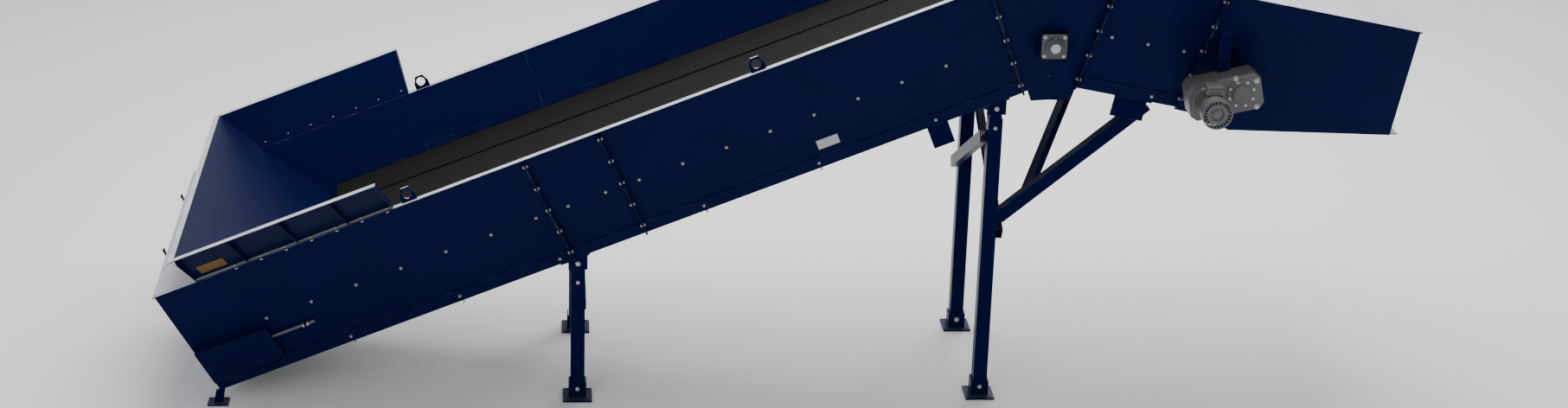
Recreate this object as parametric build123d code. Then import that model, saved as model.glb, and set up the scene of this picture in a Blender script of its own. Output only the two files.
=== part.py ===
"""Inclined trough belt conveyor section with slider bed, knee, declined head run and shaft-mounted drive."""

import math
import os

from build123d import *

# Driving dimensions, in millimetres and degrees.
INCLINE = 21.8            # slope of the loading run
DECLINE = 11.0            # slope of the head run, past the knee
LEAN = 25.0               # outward lean of the side walls
WALL = 965.0              # slant height of a side wall
FLOOR_WIDTH = 1240.0      # clear width between the walls at their bottom edge
TAIL_LIFT = 103.0         # height of the tail's bottom edge above the floor
SHEET = 5.0               # wall sheet
DOUBLER = 6.0             # bar along the foot of each wall
DOUBLER_HEIGHT = 96.0
TOP_FLANGE = 48.0
FOOT_FLANGE = 60.0
RIB = 6.0                 # thickness of a joint flange
RIB_OUT = 42.0            # how far a joint flange stands out of the wall
S_JOINT_1 = 2385.0        # joints between wall sections, along the loading run
S_JOINT_2 = 2865.0
S_JOINT_3 = 5349.0
S_KNEE = 5530.0           # where the bottom lines of the two runs meet
U_JOINT_3 = 152.0         # the same joints along the head run, from the knee
U_JOINT_4 = 812.0
DRIVE_FRONT = 7300.0      # discharge end, from the tail corner
DRIVE_FLOOR = 1828.0      # bottom edge of the discharge hood above the floor
DRIVE_NECK = 6100.0       # where the bottom edge of the drive section starts to drop
DRIVE_DROP = 6290.0       # where it reaches the hood's bottom edge
KNEE_FLOOR = 2018.0       # bottom edge of the knee section

BELT_WIDTH = 1300.0
BELT = 8.0                # belt thickness
BED_T = 445.0             # belt line above the bottom edge of the walls
BED_SHEET = 6.0
SKIN = 0.3                # gap between a turning roll and the belt
PULLEY_R = 162.0
HEAD_R = 170.0
PULLEY_FACE = 1310.0
SHELL = 12.0
SHAFT_R = 30.0
RUNNING = 0.05            # radial clearance of a running fit
TAIL_S = 241.0            # tail pulley, along the loading run
HEAD_U = 1066.0           # head pulley, along the head run
TAKE_UP = 100.0           # travel of the take-up carriage
ROLLER_R = 38.0
ROLLER_FACE = 1196.0
ROLLER_AXLE_R = 9.0
KNEE_ROLLER_R = 57.0
RETURN_S = (901.0, 1631.0, 2300.0, 3258.0, 4019.0, 4787.0)
RETURN_U = 640.0

BOLT_R = 6.0
HOLE_R = 7.0
HEAD_ACROSS = 11.0        # corner radius of a hex head
HEAD_HEIGHT = 8.0

LEG_X_TAIL = 2235.0
LEG_X_HEAD = 4817.0
LEG_Y = 543.0
TUBE = 89.0
INNER_TUBE = 76.0
TUBE_WALL = 6.0
FOOT_LENGTH = 185.0
FOOT_WIDTH = 193.0
FOOT_SHEET = 12.0
ANCHOR_X = 130.0
ANCHOR_Y = 150.0
ANCHOR_R = 9.0

HOPPER_S0 = 284.0         # loading hopper, along the loading run
HOPPER_S1 = 1560.0
HOPPER_RISE = 250.0       # rim above the wall tops
HOPPER_HALF = 1307.0      # half width over the rims
HOPPER_CHUTE = 860.0      # where the back chute reaches the belt
RIM = 52.0

SIN = math.sin(math.radians(LEAN))
COS = math.cos(math.radians(LEAN))
HALF = FLOOR_WIDTH / 2
RISE = WALL * COS
TURN = math.radians((INCLINE + DECLINE) / 2)
TILT = math.radians((INCLINE - DECLINE) / 2)
SLOPE = math.radians(INCLINE)
FALL = math.radians(DECLINE)
TAIL_T = BED_T - PULLEY_R - SKIN
HEAD_T = BED_T - HEAD_R - SKIN
RETURN_T = TAIL_T - PULLEY_R - SKIN - BELT      # outer face of the return strand
KNEE_X = S_KNEE * math.cos(SLOPE)
KNEE_Z = TAIL_LIFT + S_KNEE * math.sin(SLOPE)
UP_KNEE = Vector(-math.sin(TILT), 0, math.cos(TILT))

nodes = {}


def add(name, *shapes):
    """Put shapes into a node as separate solids."""
    nodes.setdefault(name, []).extend(shapes)


def incline(shape):
    """Place a shape drawn in the loading run: x along the belt, z square to it from the bottom edge."""
    return Pos(0, 0, TAIL_LIFT) * Rot(0, -INCLINE, 0) * shape


def head(shape):
    """Place a shape drawn in the head run, with x counted from the knee."""
    return Pos(KNEE_X, 0, KNEE_Z) * Rot(0, DECLINE, 0) * shape


def incline_point(s, t):
    """The side-view point (x, z) of a place in the loading run."""
    x = s * math.cos(SLOPE) - t * math.sin(SLOPE)
    z = TAIL_LIFT + s * math.sin(SLOPE) + t * math.cos(SLOPE)
    return (x, z)


def head_point(u, t):
    """The side-view point (x, z) of a place in the head run."""
    x = KNEE_X + u * math.cos(FALL) + t * math.sin(FALL)
    z = KNEE_Z - u * math.sin(FALL) + t * math.cos(FALL)
    return (x, z)


def head_place(x, z):
    """The head-run place (u, t) of a side-view point."""
    dx = x - KNEE_X
    dz = z - KNEE_Z
    return (dx * math.cos(FALL) - dz * math.sin(FALL), dx * math.sin(FALL) + dz * math.cos(FALL))


def far(shape):
    """The mirrored twin on the far side."""
    return mirror(shape, about=Plane.XZ)


def both(shape):
    """A near-side shape with its far-side twin."""
    return [shape, far(shape)]


def prism_x(points, x0, x1):
    """A (y, z) outline drawn out from x0 to x1."""
    face = make_face(Polyline(*[(x0, y, z) for y, z in points], close=True))
    return extrude(face, amount=x1 - x0, dir=(1, 0, 0))


def prism_y(points, y0, y1):
    """An (x, z) outline drawn out from y0 to y1."""
    face = make_face(Polyline(*[(x, y0, z) for x, z in points], close=True))
    return extrude(face, amount=y1 - y0, dir=(0, 1, 0))


def block(x0, x1, y0, y1, z0, z1):
    """A box by its limits."""
    return Pos((x0 + x1) / 2, (y0 + y1) / 2, (z0 + z1) / 2) * Box(x1 - x0, y1 - y0, z1 - z0)


def rod_y(x, z, radius, y0, y1):
    """A round bar along y."""
    return Pos(x, (y0 + y1) / 2, z) * Rot(90, 0, 0) * Cylinder(radius, y1 - y0)


def rod_x(y, z, radius, x0, x1):
    """A round bar along x."""
    return Pos((x0 + x1) / 2, y, z) * Rot(0, 90, 0) * Cylinder(radius, x1 - x0)


# The near wall's own frame: x along the run, y up the slant from the bottom edge, z outward.
NEAR_WALL = Plane(origin=(0, -HALF, 0), x_dir=(1, 0, 0), z_dir=(0, -COS, -SIN)).location


def on_wall(x, r, h=0.0):
    """A place on the near wall: x along the run, r up the slant, h out of its inner face."""
    return NEAR_WALL * Pos(x, r, h)


def wall_yz(r, h=0.0):
    """The (y, z) of a point on the near wall."""
    return (-(HALF + r * SIN + h * COS), r * COS - h * SIN)


def hex_bolt(grip, radius=BOLT_R):
    """A bolt along z: head above z = 0, nut below z = -grip."""
    size = radius / BOLT_R
    cap = extrude(RegularPolygon(HEAD_ACROSS * size, 6), amount=HEAD_HEIGHT * size)
    nut = Pos(0, 0, -grip - HEAD_HEIGHT * size) * cap
    stem_low = -grip - HEAD_HEIGHT * size - 3
    stem = Pos(0, 0, stem_low / 2) * Cylinder(radius, -stem_low)
    return cap + nut + stem


def wall_bolt(x, r, outer=SHEET, inner=0.0):
    """A bolt through the near wall, its head outside."""
    return on_wall(x, r, outer) * hex_bolt(outer - inner)


def wall_hole(x, r, radius=HOLE_R):
    """The hole for a bolt in the near wall."""
    return on_wall(x, r, 0) * Cylinder(radius, 60)


# ---- side walls ----

def wall_outline(low=0.0, foot=True):
    """Section of the near wall: foot flange, doubler bar, leaning sheet and top flange."""
    top_y, top_z = wall_yz(WALL)
    under = (top_z - SHEET + SHEET * SIN) / COS
    outline = [
        wall_yz(WALL),
        (top_y - TOP_FLANGE, top_z),
        (top_y - TOP_FLANGE, top_z - SHEET),
        wall_yz(under, SHEET),
    ]
    if foot:
        outline += [
            wall_yz(DOUBLER_HEIGHT, SHEET),
            wall_yz(DOUBLER_HEIGHT, SHEET + DOUBLER),
            wall_yz(0, SHEET + DOUBLER),
            wall_yz(0),
            (-HALF + FOOT_FLANGE, 0),
            (-HALF + FOOT_FLANGE, SHEET),
            wall_yz(SHEET / COS),
        ]
    else:
        outline += [wall_yz(low, SHEET), wall_yz(low)]
    return outline


def joint_rib(x0, low=14.0):
    """A flange across the outside of the near wall, from x0 to x0 + RIB."""
    height = WALL - low - 26
    return on_wall(x0 + RIB / 2, low + height / 2, SHEET + RIB_OUT / 2) * Box(RIB, height, RIB_OUT)


JOINT_R = [90 + 206 * i for i in range(5)]


def joint_bolts(x):
    """Bolts along a joint line, through both flanges."""
    place = [on_wall(x + RIB, r, SHEET + RIB_OUT * 0.6) * Rot(0, 90, 0) for r in JOINT_R]
    return [spot * hex_bolt(2 * RIB) for spot in place]


def joint_holes(x):
    """Holes along a joint line."""
    return [on_wall(x, r, SHEET + RIB_OUT * 0.6) * Rot(0, 90, 0) * Cylinder(HOLE_R, 40) for r in JOINT_R]


def cut_all(shape, tools):
    """The shape with each tool taken out."""
    for tool in tools:
        shape = shape - tool
    return shape


BED_BOLT_R = 454.0
TAIL_BED_BOLTS = [511 + 296.5 * i for i in range(7)]
MID_BED_BOLTS = [2500.0, 2745.0]
UPPER_BED_BOLTS = [2965 + 284.5 * i for i in range(8)]
FOOT_BOLT_R = 48.0
HOPPER_BOLTS = [540 + 163.0 * i for i in range(7)]
HOPPER_BOLT_OUT = 32.0    # from the wall's top edge out to the bolts of the hopper foot

tail_wall = prism_x(wall_outline(), 0, S_JOINT_1) + joint_rib(S_JOINT_1 - RIB)
cut_out = on_wall(287, 228, 0) * Box(336, 334, 60)
tail_holes = [wall_hole(s, BED_BOLT_R) for s in TAIL_BED_BOLTS]
tail_holes += [wall_hole(s, FOOT_BOLT_R) for s in RETURN_S if s < S_JOINT_1]
tail_holes += joint_holes(S_JOINT_1)
tail_wall = cut_all(tail_wall, [cut_out] + tail_holes)

mid_wall = prism_x(wall_outline(), S_JOINT_1, S_JOINT_2) + joint_rib(S_JOINT_1) + joint_rib(S_JOINT_2 - RIB)
mid_holes = [wall_hole(s, BED_BOLT_R) for s in MID_BED_BOLTS]
mid_wall = cut_all(mid_wall, mid_holes + joint_holes(S_JOINT_1) + joint_holes(S_JOINT_2))

upper_wall = prism_x(wall_outline(), S_JOINT_2, S_JOINT_3) + joint_rib(S_JOINT_2) + joint_rib(S_JOINT_3 - RIB)
upper_holes = [wall_hole(s, BED_BOLT_R) for s in UPPER_BED_BOLTS]
upper_holes += [wall_hole(s, FOOT_BOLT_R) for s in RETURN_S if s > S_JOINT_2]
upper_wall = cut_all(upper_wall, upper_holes + joint_holes(S_JOINT_2) + joint_holes(S_JOINT_3))

hopper_holes = [Pos(s, wall_yz(WALL)[0] - HOPPER_BOLT_OUT, RISE) * Cylinder(HOLE_R, 60) for s in HOPPER_BOLTS]
tail_wall = cut_all(tail_wall, hopper_holes)
add("tail_walls", *[incline(panel) for panel in both(tail_wall)])
add("upper_walls", *[incline(panel) for piece in (mid_wall, upper_wall) for panel in both(piece)])

# The knee section is folded on the plane that halves the turn.
APEX = Vector(KNEE_X, 0, KNEE_Z)
ALONG_KNEE = (math.cos(TILT), 0, math.sin(TILT))
PAST_KNEE = Location(Plane(origin=tuple(APEX), x_dir=ALONG_KNEE, z_dir=tuple(UP_KNEE)))
BIG = 4000.0
after_knee = PAST_KNEE * block(0, BIG, -BIG, BIG, -BIG, BIG)
before_knee = PAST_KNEE * block(-BIG, 0, -BIG, BIG, -BIG, BIG)
below_knee = block(KNEE_X - BIG, KNEE_X + BIG, -BIG, BIG, KNEE_FLOOR - BIG, KNEE_FLOOR)
KNEE_LOW = -190.0


def knee_side():
    """Near wall of the knee section, both facets."""
    rising = prism_x(wall_outline(foot=False), S_JOINT_3, S_KNEE + 500)
    rising += prism_x([wall_yz(KNEE_LOW), wall_yz(1), wall_yz(1, SHEET), wall_yz(KNEE_LOW, SHEET)],
                      S_JOINT_3 + 30, S_KNEE + 500)
    rising += joint_rib(S_JOINT_3)
    rising = cut_all(rising, joint_holes(S_JOINT_3))
    falling = prism_x(wall_outline(low=KNEE_LOW, foot=False), -500, U_JOINT_3)
    falling += joint_rib(U_JOINT_3 - RIB)
    falling = cut_all(falling, joint_holes(U_JOINT_3))
    return (incline(rising) - after_knee) + (head(falling) - before_knee) - below_knee


knee_pulley_back = (PULLEY_R + SKIN) / math.cos(TURN)
bed_apex = APEX + UP_KNEE * (BED_T / math.cos(TURN))
KNEE_PULLEY = bed_apex - UP_KNEE * knee_pulley_back
KNEE_ROLLER = APEX + UP_KNEE * ((RETURN_T - KNEE_ROLLER_R - SKIN) / math.cos(TURN))
shaft_gap = rod_y(KNEE_PULLEY.X, KNEE_PULLEY.Z, SHAFT_R + 14, -BIG, BIG)
knee_wall = knee_side() - shaft_gap - rod_y(KNEE_ROLLER.X, KNEE_ROLLER.Z, ROLLER_AXLE_R + 3, -BIG, BIG)
add("knee_walls", *both(knee_wall))

head_wall = prism_x(wall_outline(), U_JOINT_3, U_JOINT_4) + joint_rib(U_JOINT_3) + joint_rib(U_JOINT_4 - RIB)
HEAD_BED_BOLTS = (250.0, 480.0, 710.0)
head_holes = [wall_hole(u, BED_BOLT_R) for u in HEAD_BED_BOLTS] + [wall_hole(RETURN_U, FOOT_BOLT_R)]
head_wall = cut_all(head_wall, head_holes + joint_holes(U_JOINT_3) + joint_holes(U_JOINT_4))
add("head_walls", *[head(panel) for panel in both(head_wall)])

# ---- drive section and discharge hood ----

def drive_place(x, z):
    """Slant coordinates (u, r) of a point of the drive wall with side-view place x, z."""
    u, t = head_place(x, z)
    return (u, t / COS)


def front_u(t):
    """Where the upright discharge face crosses the head-run height t."""
    return (DRIVE_FRONT - KNEE_X - t * math.sin(FALL)) / math.cos(FALL)


NECK = drive_place(DRIVE_NECK, head_point(U_JOINT_4, -24)[1] - 40)
drive_outline = [
    (U_JOINT_4, -24 / COS),
    NECK,
    drive_place(DRIVE_DROP, DRIVE_FLOOR),
    drive_place(DRIVE_FRONT, DRIVE_FLOOR),
    (front_u(RISE), WALL),
    (U_JOINT_4, WALL),
]
HEAD_PULLEY = head_point(HEAD_U, HEAD_T)
sheet_face = make_face(Polyline(*[(u, r, 0) for u, r in drive_outline], close=True))
drive_sheet = NEAR_WALL * extrude(sheet_face, amount=SHEET)
top_y, top_z = wall_yz(WALL)
drive_rail = block(U_JOINT_4, front_u(RISE) - 4, top_y - TOP_FLANGE, top_y, top_z - SHEET, top_z)
drive_wall = cut_all(drive_sheet + drive_rail + joint_rib(U_JOINT_4), joint_holes(U_JOINT_4))
drive_wall = head(drive_wall) - rod_y(HEAD_PULLEY[0], HEAD_PULLEY[1], SHAFT_R + 14, -BIG, BIG)
add("drive_walls", *both(drive_wall))


def hood_half_width(z):
    """Inside half width of the drive section at its discharge end, at height z."""
    return HALF + head_place(DRIVE_FRONT, z)[1] * SIN / COS


front_top = head_point(front_u(RISE), RISE)[1]
low_half = hood_half_width(DRIVE_FLOOR)
high_half = hood_half_width(front_top)
SIDE_GAP = 1.5
front_points = [(-low_half + SIDE_GAP, DRIVE_FLOOR), (low_half - SIDE_GAP, DRIVE_FLOOR),
                (high_half - SIDE_GAP, front_top), (-high_half + SIDE_GAP, front_top)]
LIP = 50.0
hood_front = prism_x(front_points, DRIVE_FRONT - SHEET, DRIVE_FRONT)
lip_half = low_half - SIDE_GAP
hood_front += block(DRIVE_FRONT - 1, DRIVE_FRONT + LIP, -lip_half, lip_half, DRIVE_FLOOR, DRIVE_FLOOR + 6)
add("hood_front", hood_front)
COVER_START = U_JOINT_4 + 30
cover = block(COVER_START, front_u(RISE) - 2, top_y - TOP_FLANGE, -top_y + TOP_FLANGE, RISE, RISE + 4)
grip = rod_y(0, 0, 7, -70, 70) + block(-7, 7, -70, -56, -35, 0) + block(-7, 7, 56, 70, -35, 0)
for u in (1050, 1750):
    cover += Pos(u, 0, RISE + 4 + 34) * grip
add("hood_cover", head(cover))

# ---- slider bed ----

def bed_outline():
    """Section of the slider bed: flat plate with a flange down each wall."""
    top = BED_T - SKIN
    edge = HALF + top * SIN / COS - SKIN
    inner = edge - BED_SHEET / COS
    low = top - 84
    drop = (top - low) * SIN / COS
    under = top - BED_SHEET
    lift = BED_SHEET * SIN / COS
    right = [(edge, top), (edge - drop, low), (inner - drop, low), (inner - lift, under)]
    return right + [(-y, z) for y, z in reversed(right)]


def bed(x0, x1, bolts):
    """A length of slider bed with its bolt holes."""
    plate = prism_x(bed_outline(), x0, x1)
    holes = [wall_hole(x, BED_BOLT_R) for x in bolts]
    return cut_all(plate, holes + [far(hole) for hole in holes])


BED_START = TAIL_S + TAKE_UP + 90
add("slider_bed_rising", incline(bed(BED_START, S_JOINT_1, TAIL_BED_BOLTS)),
    incline(bed(S_JOINT_1, S_JOINT_2, MID_BED_BOLTS)),
    incline(bed(S_JOINT_2, S_KNEE + 20, UPPER_BED_BOLTS)))
add("slider_bed_head", head(bed(-20, HEAD_U - 90, HEAD_BED_BOLTS)))

bed_bolt_x = TAIL_BED_BOLTS + MID_BED_BOLTS + UPPER_BED_BOLTS
near_bed_bolts = [incline(wall_bolt(s, BED_BOLT_R, SHEET, -BED_SHEET - SKIN)) for s in bed_bolt_x]
near_bed_bolts += [head(wall_bolt(u, BED_BOLT_R, SHEET, -BED_SHEET - SKIN)) for u in HEAD_BED_BOLTS]
add("panel_bolts", *near_bed_bolts, *[far(bolt) for bolt in near_bed_bolts])

near_joint_bolts = [incline(bolt) for s in (S_JOINT_1, S_JOINT_2, S_JOINT_3) for bolt in joint_bolts(s)]
near_joint_bolts += [head(bolt) for u in (U_JOINT_3, U_JOINT_4) for bolt in joint_bolts(u)]
add("joint_bolts", *near_joint_bolts, *[far(bolt) for bolt in near_joint_bolts])

# Channels across the floor of the trough tie the two walls together.
def cross_member(x):
    """A channel across the bottom flanges, open downward."""
    reach = HALF - 4
    shell = block(x - 40, x + 40, -reach, reach, SHEET, SHEET + 26)
    return shell - block(x - 35, x + 35, -reach - 1, reach + 1, SHEET - 1, SHEET + 21)


CROSS_S = (520.0, 1266.0, 2000.0, 2620.0, 3640.0, 4400.0, 5220.0)
ties = [incline(cross_member(s)) for s in CROSS_S] + [head(cross_member(u)) for u in (280.0, 760.0)]
add("cross_members", *ties)

# ---- skirts ----

SKIRT_TOP = 556.0         # slant height where the skirt meets the wall
WIPE_Y = 604.0            # where the rubber rests on the belt
SHELF_Y = 690.0           # inner edge of the steel shelf under the rubber


def skirt_line(y):
    """Height of the skirt's upper steel face at distance y from the centre plane."""
    wall_y, wall_z = wall_yz(SKIRT_TOP)
    share = (y - WIPE_Y) / (-wall_y - WIPE_Y)
    low = BED_T + BELT + 1
    return low + share * (wall_z - low)


def skirt_rubber_outline():
    """Rubber sheet from the wall down to the belt, near side."""
    wall_y = wall_yz(SKIRT_TOP)[0] + 1
    lift = 8 * SIN / COS
    return [(wall_y, skirt_line(-wall_y)), (wall_y - lift, skirt_line(-wall_y) + 8),
            (-WIPE_Y, skirt_line(WIPE_Y) + 8), (-WIPE_Y, skirt_line(WIPE_Y))]


def skirt_shelf_outline():
    """Steel shelf that carries the rubber, near side."""
    wall_y = wall_yz(SKIRT_TOP)[0] + 4
    lip = wall_yz(SKIRT_TOP - 60)
    return [(wall_y, skirt_line(-wall_y) - 1), (-SHELF_Y, skirt_line(SHELF_Y) - 1),
            (-SHELF_Y, skirt_line(SHELF_Y) - 5), (wall_y + 4, skirt_line(-wall_y) - 6),
            (lip[0] + 6, lip[1]), (lip[0] + 1, lip[1])]


def skirt_bar_outline():
    """Clamp bar that holds the rubber against the wall."""
    return [wall_yz(SKIRT_TOP + 14, -1), wall_yz(SKIRT_TOP + 46, -1), wall_yz(SKIRT_TOP + 46, -7),
            wall_yz(SKIRT_TOP + 14, -7)]


SKIRT_END = S_KNEE + BED_T * math.tan(TURN) - 6
HEAD_SKIRT_START = -BED_T * math.tan(TURN) + 6
HEAD_SKIRT_END = HEAD_U - 40
HOPPER_SHIELD = 900.0
for label, outline in (("skirt_rubber", skirt_rubber_outline()), ("skirt_steelwork", skirt_shelf_outline()),
                       ("skirt_steelwork", skirt_bar_outline())):
    rising = both(prism_x(outline, HOPPER_SHIELD, SKIRT_END - 34))
    falling = both(prism_x(outline, HEAD_SKIRT_START + 34, HEAD_SKIRT_END))
    add(label, *[incline(piece) for piece in rising], *[head(piece) for piece in falling])

# ---- belt ----

def tangent(first, second, sense_1, sense_2):
    """The straight run between two wheels (x, z, radius); sense +1 when the belt turns clockwise round it."""
    dx = second[0] - first[0]
    dz = second[1] - first[1]
    reach = math.hypot(dx, dz)
    along = math.atan2(dz, dx)
    swing = math.asin((sense_1 * first[2] - sense_2 * second[2]) / reach)
    normal = along - swing + math.pi / 2
    reach_1 = sense_1 * first[2]
    reach_2 = sense_2 * second[2]
    leave = (first[0] + reach_1 * math.cos(normal), first[1] + reach_1 * math.sin(normal))
    meet = (second[0] + reach_2 * math.cos(normal), second[1] + reach_2 * math.sin(normal))
    return leave, meet


TAIL_XZ = incline_point(TAIL_S, TAIL_T)
KNEE_ROLL_XZ = (KNEE_ROLLER.X, KNEE_ROLLER.Z)
KNEE_XZ = (KNEE_PULLEY.X, KNEE_PULLEY.Z)
belt_wheels = [
    (TAIL_XZ, PULLEY_R + SKIN, 1),
    (KNEE_XZ, PULLEY_R + SKIN, 1),
    (HEAD_PULLEY, HEAD_R + SKIN, 1),
    (KNEE_ROLL_XZ, KNEE_ROLLER_R + SKIN + BELT, -1),
]


def belt_face(offset):
    """The area inside the belt line, moved out by offset."""
    wheels = [(x, z, radius + sense * offset, sense) for (x, z), radius, sense in belt_wheels]
    runs = []
    for i, wheel in enumerate(wheels):
        after = wheels[(i + 1) % len(wheels)]
        runs.append(tangent(wheel, after, wheel[3], after[3]))
    edges = []
    for i, wheel in enumerate(wheels):
        x, z, radius, sense = wheel
        arrive = runs[i - 1][1]
        leave = runs[i][0]
        start = math.atan2(arrive[1] - z, arrive[0] - x)
        end = math.atan2(leave[1] - z, leave[0] - x)
        sweep = (start - end) % (2 * math.pi) if sense > 0 else -((end - start) % (2 * math.pi))
        middle = start - sweep / 2
        via = (x + radius * math.cos(middle), z + radius * math.sin(middle))
        edges.append(ThreePointArc(*[(p[0], 0, p[1]) for p in (arrive, via, leave)]))
        edges.append(Line((leave[0], 0, leave[1]), (runs[i][1][0], 0, runs[i][1][1])))
    return make_face(edges)


def belt_loop():
    """The endless belt as one closed band."""
    outer = extrude(belt_face(BELT), amount=BELT_WIDTH / 2, dir=(0, 1, 0), both=True)
    inner = extrude(belt_face(0), amount=BELT_WIDTH, dir=(0, 1, 0), both=True)
    return outer - inner


add("belt", belt_loop())

# ---- pulleys ----

def drum(x, z, radius, face):
    """Pulley shell with two end discs and hubs, open in the middle for its shaft."""
    shell = rod_y(x, z, radius, -face / 2, face / 2) - rod_y(x, z, radius - SHELL, -face, face)
    for side in (-1, 1):
        disc_y = side * (face / 2 - 40)
        shell += rod_y(x, z, radius - SHELL + 1, disc_y - 8, disc_y + 8)
        shell += rod_y(x, z, SHAFT_R + 28, disc_y - 32, disc_y + 32)
    return shell - rod_y(x, z, SHAFT_R, -face, face)


BEARING_Y = 812.0         # mounting plane of the wall bearings, each side
BEARING_HEIGHT = 54.0
GEARBOX_Y0 = 872.0        # inner face of the gearbox
GEARBOX_Y1 = 1032.0
MOTOR_Y1 = 1296.0
TAIL_SHAFT_END = 772.0

add("tail_pulley", drum(*TAIL_XZ, PULLEY_R, PULLEY_FACE))
add("tail_shaft", rod_y(*TAIL_XZ, SHAFT_R, -TAIL_SHAFT_END, TAIL_SHAFT_END))
add("knee_pulley", drum(*KNEE_XZ, PULLEY_R, PULLEY_FACE))
SHAFT_END = BEARING_Y + BEARING_HEIGHT + 8
add("knee_shaft", rod_y(*KNEE_XZ, SHAFT_R, -SHAFT_END, SHAFT_END))
add("head_pulley", drum(*HEAD_PULLEY, HEAD_R, PULLEY_FACE))
add("head_shaft", rod_y(*HEAD_PULLEY, SHAFT_R, -GEARBOX_Y1 + 8, SHAFT_END))


def bearing(x, z):
    """Near-side square flange bearing on its wedge-shaped pad."""
    housing = block(x - 82, x + 82, -BEARING_Y - 16, -BEARING_Y, z - 82, z + 82)
    housing += rod_y(x, z, 56, -BEARING_Y - BEARING_HEIGHT, -BEARING_Y - 10)
    for dx in (-60, 60):
        for dz in (-60, 60):
            housing += rod_y(x + dx, z + dz, 10, -BEARING_Y - 26, -BEARING_Y - 12)
    return housing - rod_y(x, z, SHAFT_R + RUNNING, -BEARING_Y - 100, -BEARING_Y + 10)


def pad(x, z, wall_solid):
    """Wedge block between the leaning wall and the upright bearing face."""
    wedge = block(x - 92, x + 92, -BEARING_Y, -HALF, z - 92, z + 92)
    return wedge - wall_solid - rod_y(x, z, SHAFT_R + 14, -BIG, BIG)


def outside(placed_run):
    """Everything on the trough's side of the near wall's outer face, in one run."""
    low = wall_yz(-WALL, SHEET)
    high = wall_yz(2 * WALL, SHEET)
    corners = [low, high, (0, high[1]), (0, low[1])]
    start = -S_KNEE if placed_run is head else 0
    return placed_run(prism_x(corners, start, start + 2 * S_KNEE))


knee_pad = pad(*KNEE_XZ, outside(incline)) - outside(head)
head_pad = pad(*HEAD_PULLEY, outside(head))
add("bearing_pads", *both(knee_pad), *both(head_pad))
add("shaft_bearings", *both(bearing(*KNEE_XZ)), *both(bearing(*HEAD_PULLEY)))

# ---- return rollers ----

def roller(x, z, radius, axle, face):
    """Tube roller with closed ends, bored for its axle."""
    return rod_y(x, z, radius, -face / 2, face / 2) - rod_y(x, z, axle + RUNNING, -face, face)


ROLLER_T = RETURN_T - ROLLER_R - SKIN
return_places = [incline_point(s, ROLLER_T) for s in RETURN_S]
AXLE_END = ROLLER_FACE / 2 + 16


def head_roller_place():
    """Where the head run's return roller just meets the return strand."""
    low = (HEAD_PULLEY[0], HEAD_PULLEY[1], HEAD_R + SKIN + BELT)
    roll = (KNEE_ROLL_XZ[0], KNEE_ROLL_XZ[1], KNEE_ROLLER_R + SKIN)
    leave, meet = tangent(low, roll, 1, -1)
    share = 0.42
    x = leave[0] + share * (meet[0] - leave[0])
    z = leave[1] + share * (meet[1] - leave[1])
    length = math.hypot(meet[0] - leave[0], meet[1] - leave[1])
    down = ((meet[1] - leave[1]) / length, -(meet[0] - leave[0]) / length)
    sign = -1 if down[1] > 0 else 1
    return (x + sign * down[0] * (ROLLER_R + SKIN), z + sign * down[1] * (ROLLER_R + SKIN))


return_places.append(head_roller_place())
for i, (x, z) in enumerate(return_places, start=1):
    add(f"return_roller_{i}", roller(x, z, ROLLER_R, ROLLER_AXLE_R, ROLLER_FACE))
add("knee_return_roller", roller(*KNEE_ROLL_XZ, KNEE_ROLLER_R, ROLLER_AXLE_R, ROLLER_FACE - 110))
axles = [rod_y(x, z, ROLLER_AXLE_R, -AXLE_END, AXLE_END) for x, z in return_places]
KNEE_AXLE_END = HALF + 10
axles.append(rod_y(*KNEE_ROLL_XZ, ROLLER_AXLE_R, -KNEE_AXLE_END + 40, KNEE_AXLE_END - 40))
add("roller_hangers", *axles)


def hanger(x, z, angle, z_drop):
    """Near-side strap that carries a return roller's axle, bolted to the foot flange."""
    y1 = -ROLLER_FACE / 2 - 2
    strap = block(-22, 22, y1 - 6, y1, -z_drop, 24)
    return Pos(x, 0, z) * Rot(0, angle, 0) * strap - rod_y(x, z, ROLLER_AXLE_R, -BIG, BIG)


straps = [hanger(x, z, -INCLINE, ROLLER_T - SHEET) for x, z in return_places[:-1]]
head_roller_t = head_place(*return_places[-1])[1]
straps.append(hanger(*return_places[-1], DECLINE, head_roller_t - SHEET))
knee_strap = block(-26, 26, -HALF + 60, -HALF + 67, -70, 40)
knee_strap = Pos(KNEE_ROLL_XZ[0], 0, KNEE_ROLL_XZ[1]) * knee_strap
knee_strap -= rod_y(*KNEE_ROLL_XZ, ROLLER_AXLE_R, -BIG, BIG)
straps.append(knee_strap)
TRACKING_S = RETURN_S[-1]
tracking = block(TRACKING_S - 68, TRACKING_S + 68, -HALF - 6, -HALF + 2, -150, -6)
tracking += block(TRACKING_S + 60, TRACKING_S + 68, -HALF - 6, -HALF + 80, -150, -6)
add("roller_hangers", *[piece for strap in straps for piece in both(strap)])
add("cross_members", *both(incline(tracking)))
KNEE_TIE_Z = KNEE_ROLL_XZ[1] - 70
knee_tie = Pos(KNEE_ROLL_XZ[0], 0, KNEE_TIE_Z) * block(-30, 30, -HALF + 56, HALF - 56, -8, 0)
add("cross_members", knee_tie)

foot_bolts = [incline(wall_bolt(s, FOOT_BOLT_R, SHEET + DOUBLER)) for s in RETURN_S]
foot_bolts.append(head(wall_bolt(RETURN_U, FOOT_BOLT_R, SHEET + DOUBLER)))
add("panel_bolts", *[piece for bolt in foot_bolts for piece in both(bolt)])

# ---- take-up at the tail ----

SLIDE_Y0 = 725.0
SLIDE_Y1 = 775.0
SLIDE_HALF = 55.0
ROD_R = 9.0
ROD_T = 262.0
ROD_Y = 765.0
LUG_S = 702.0
RAIL = 12.0


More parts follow.
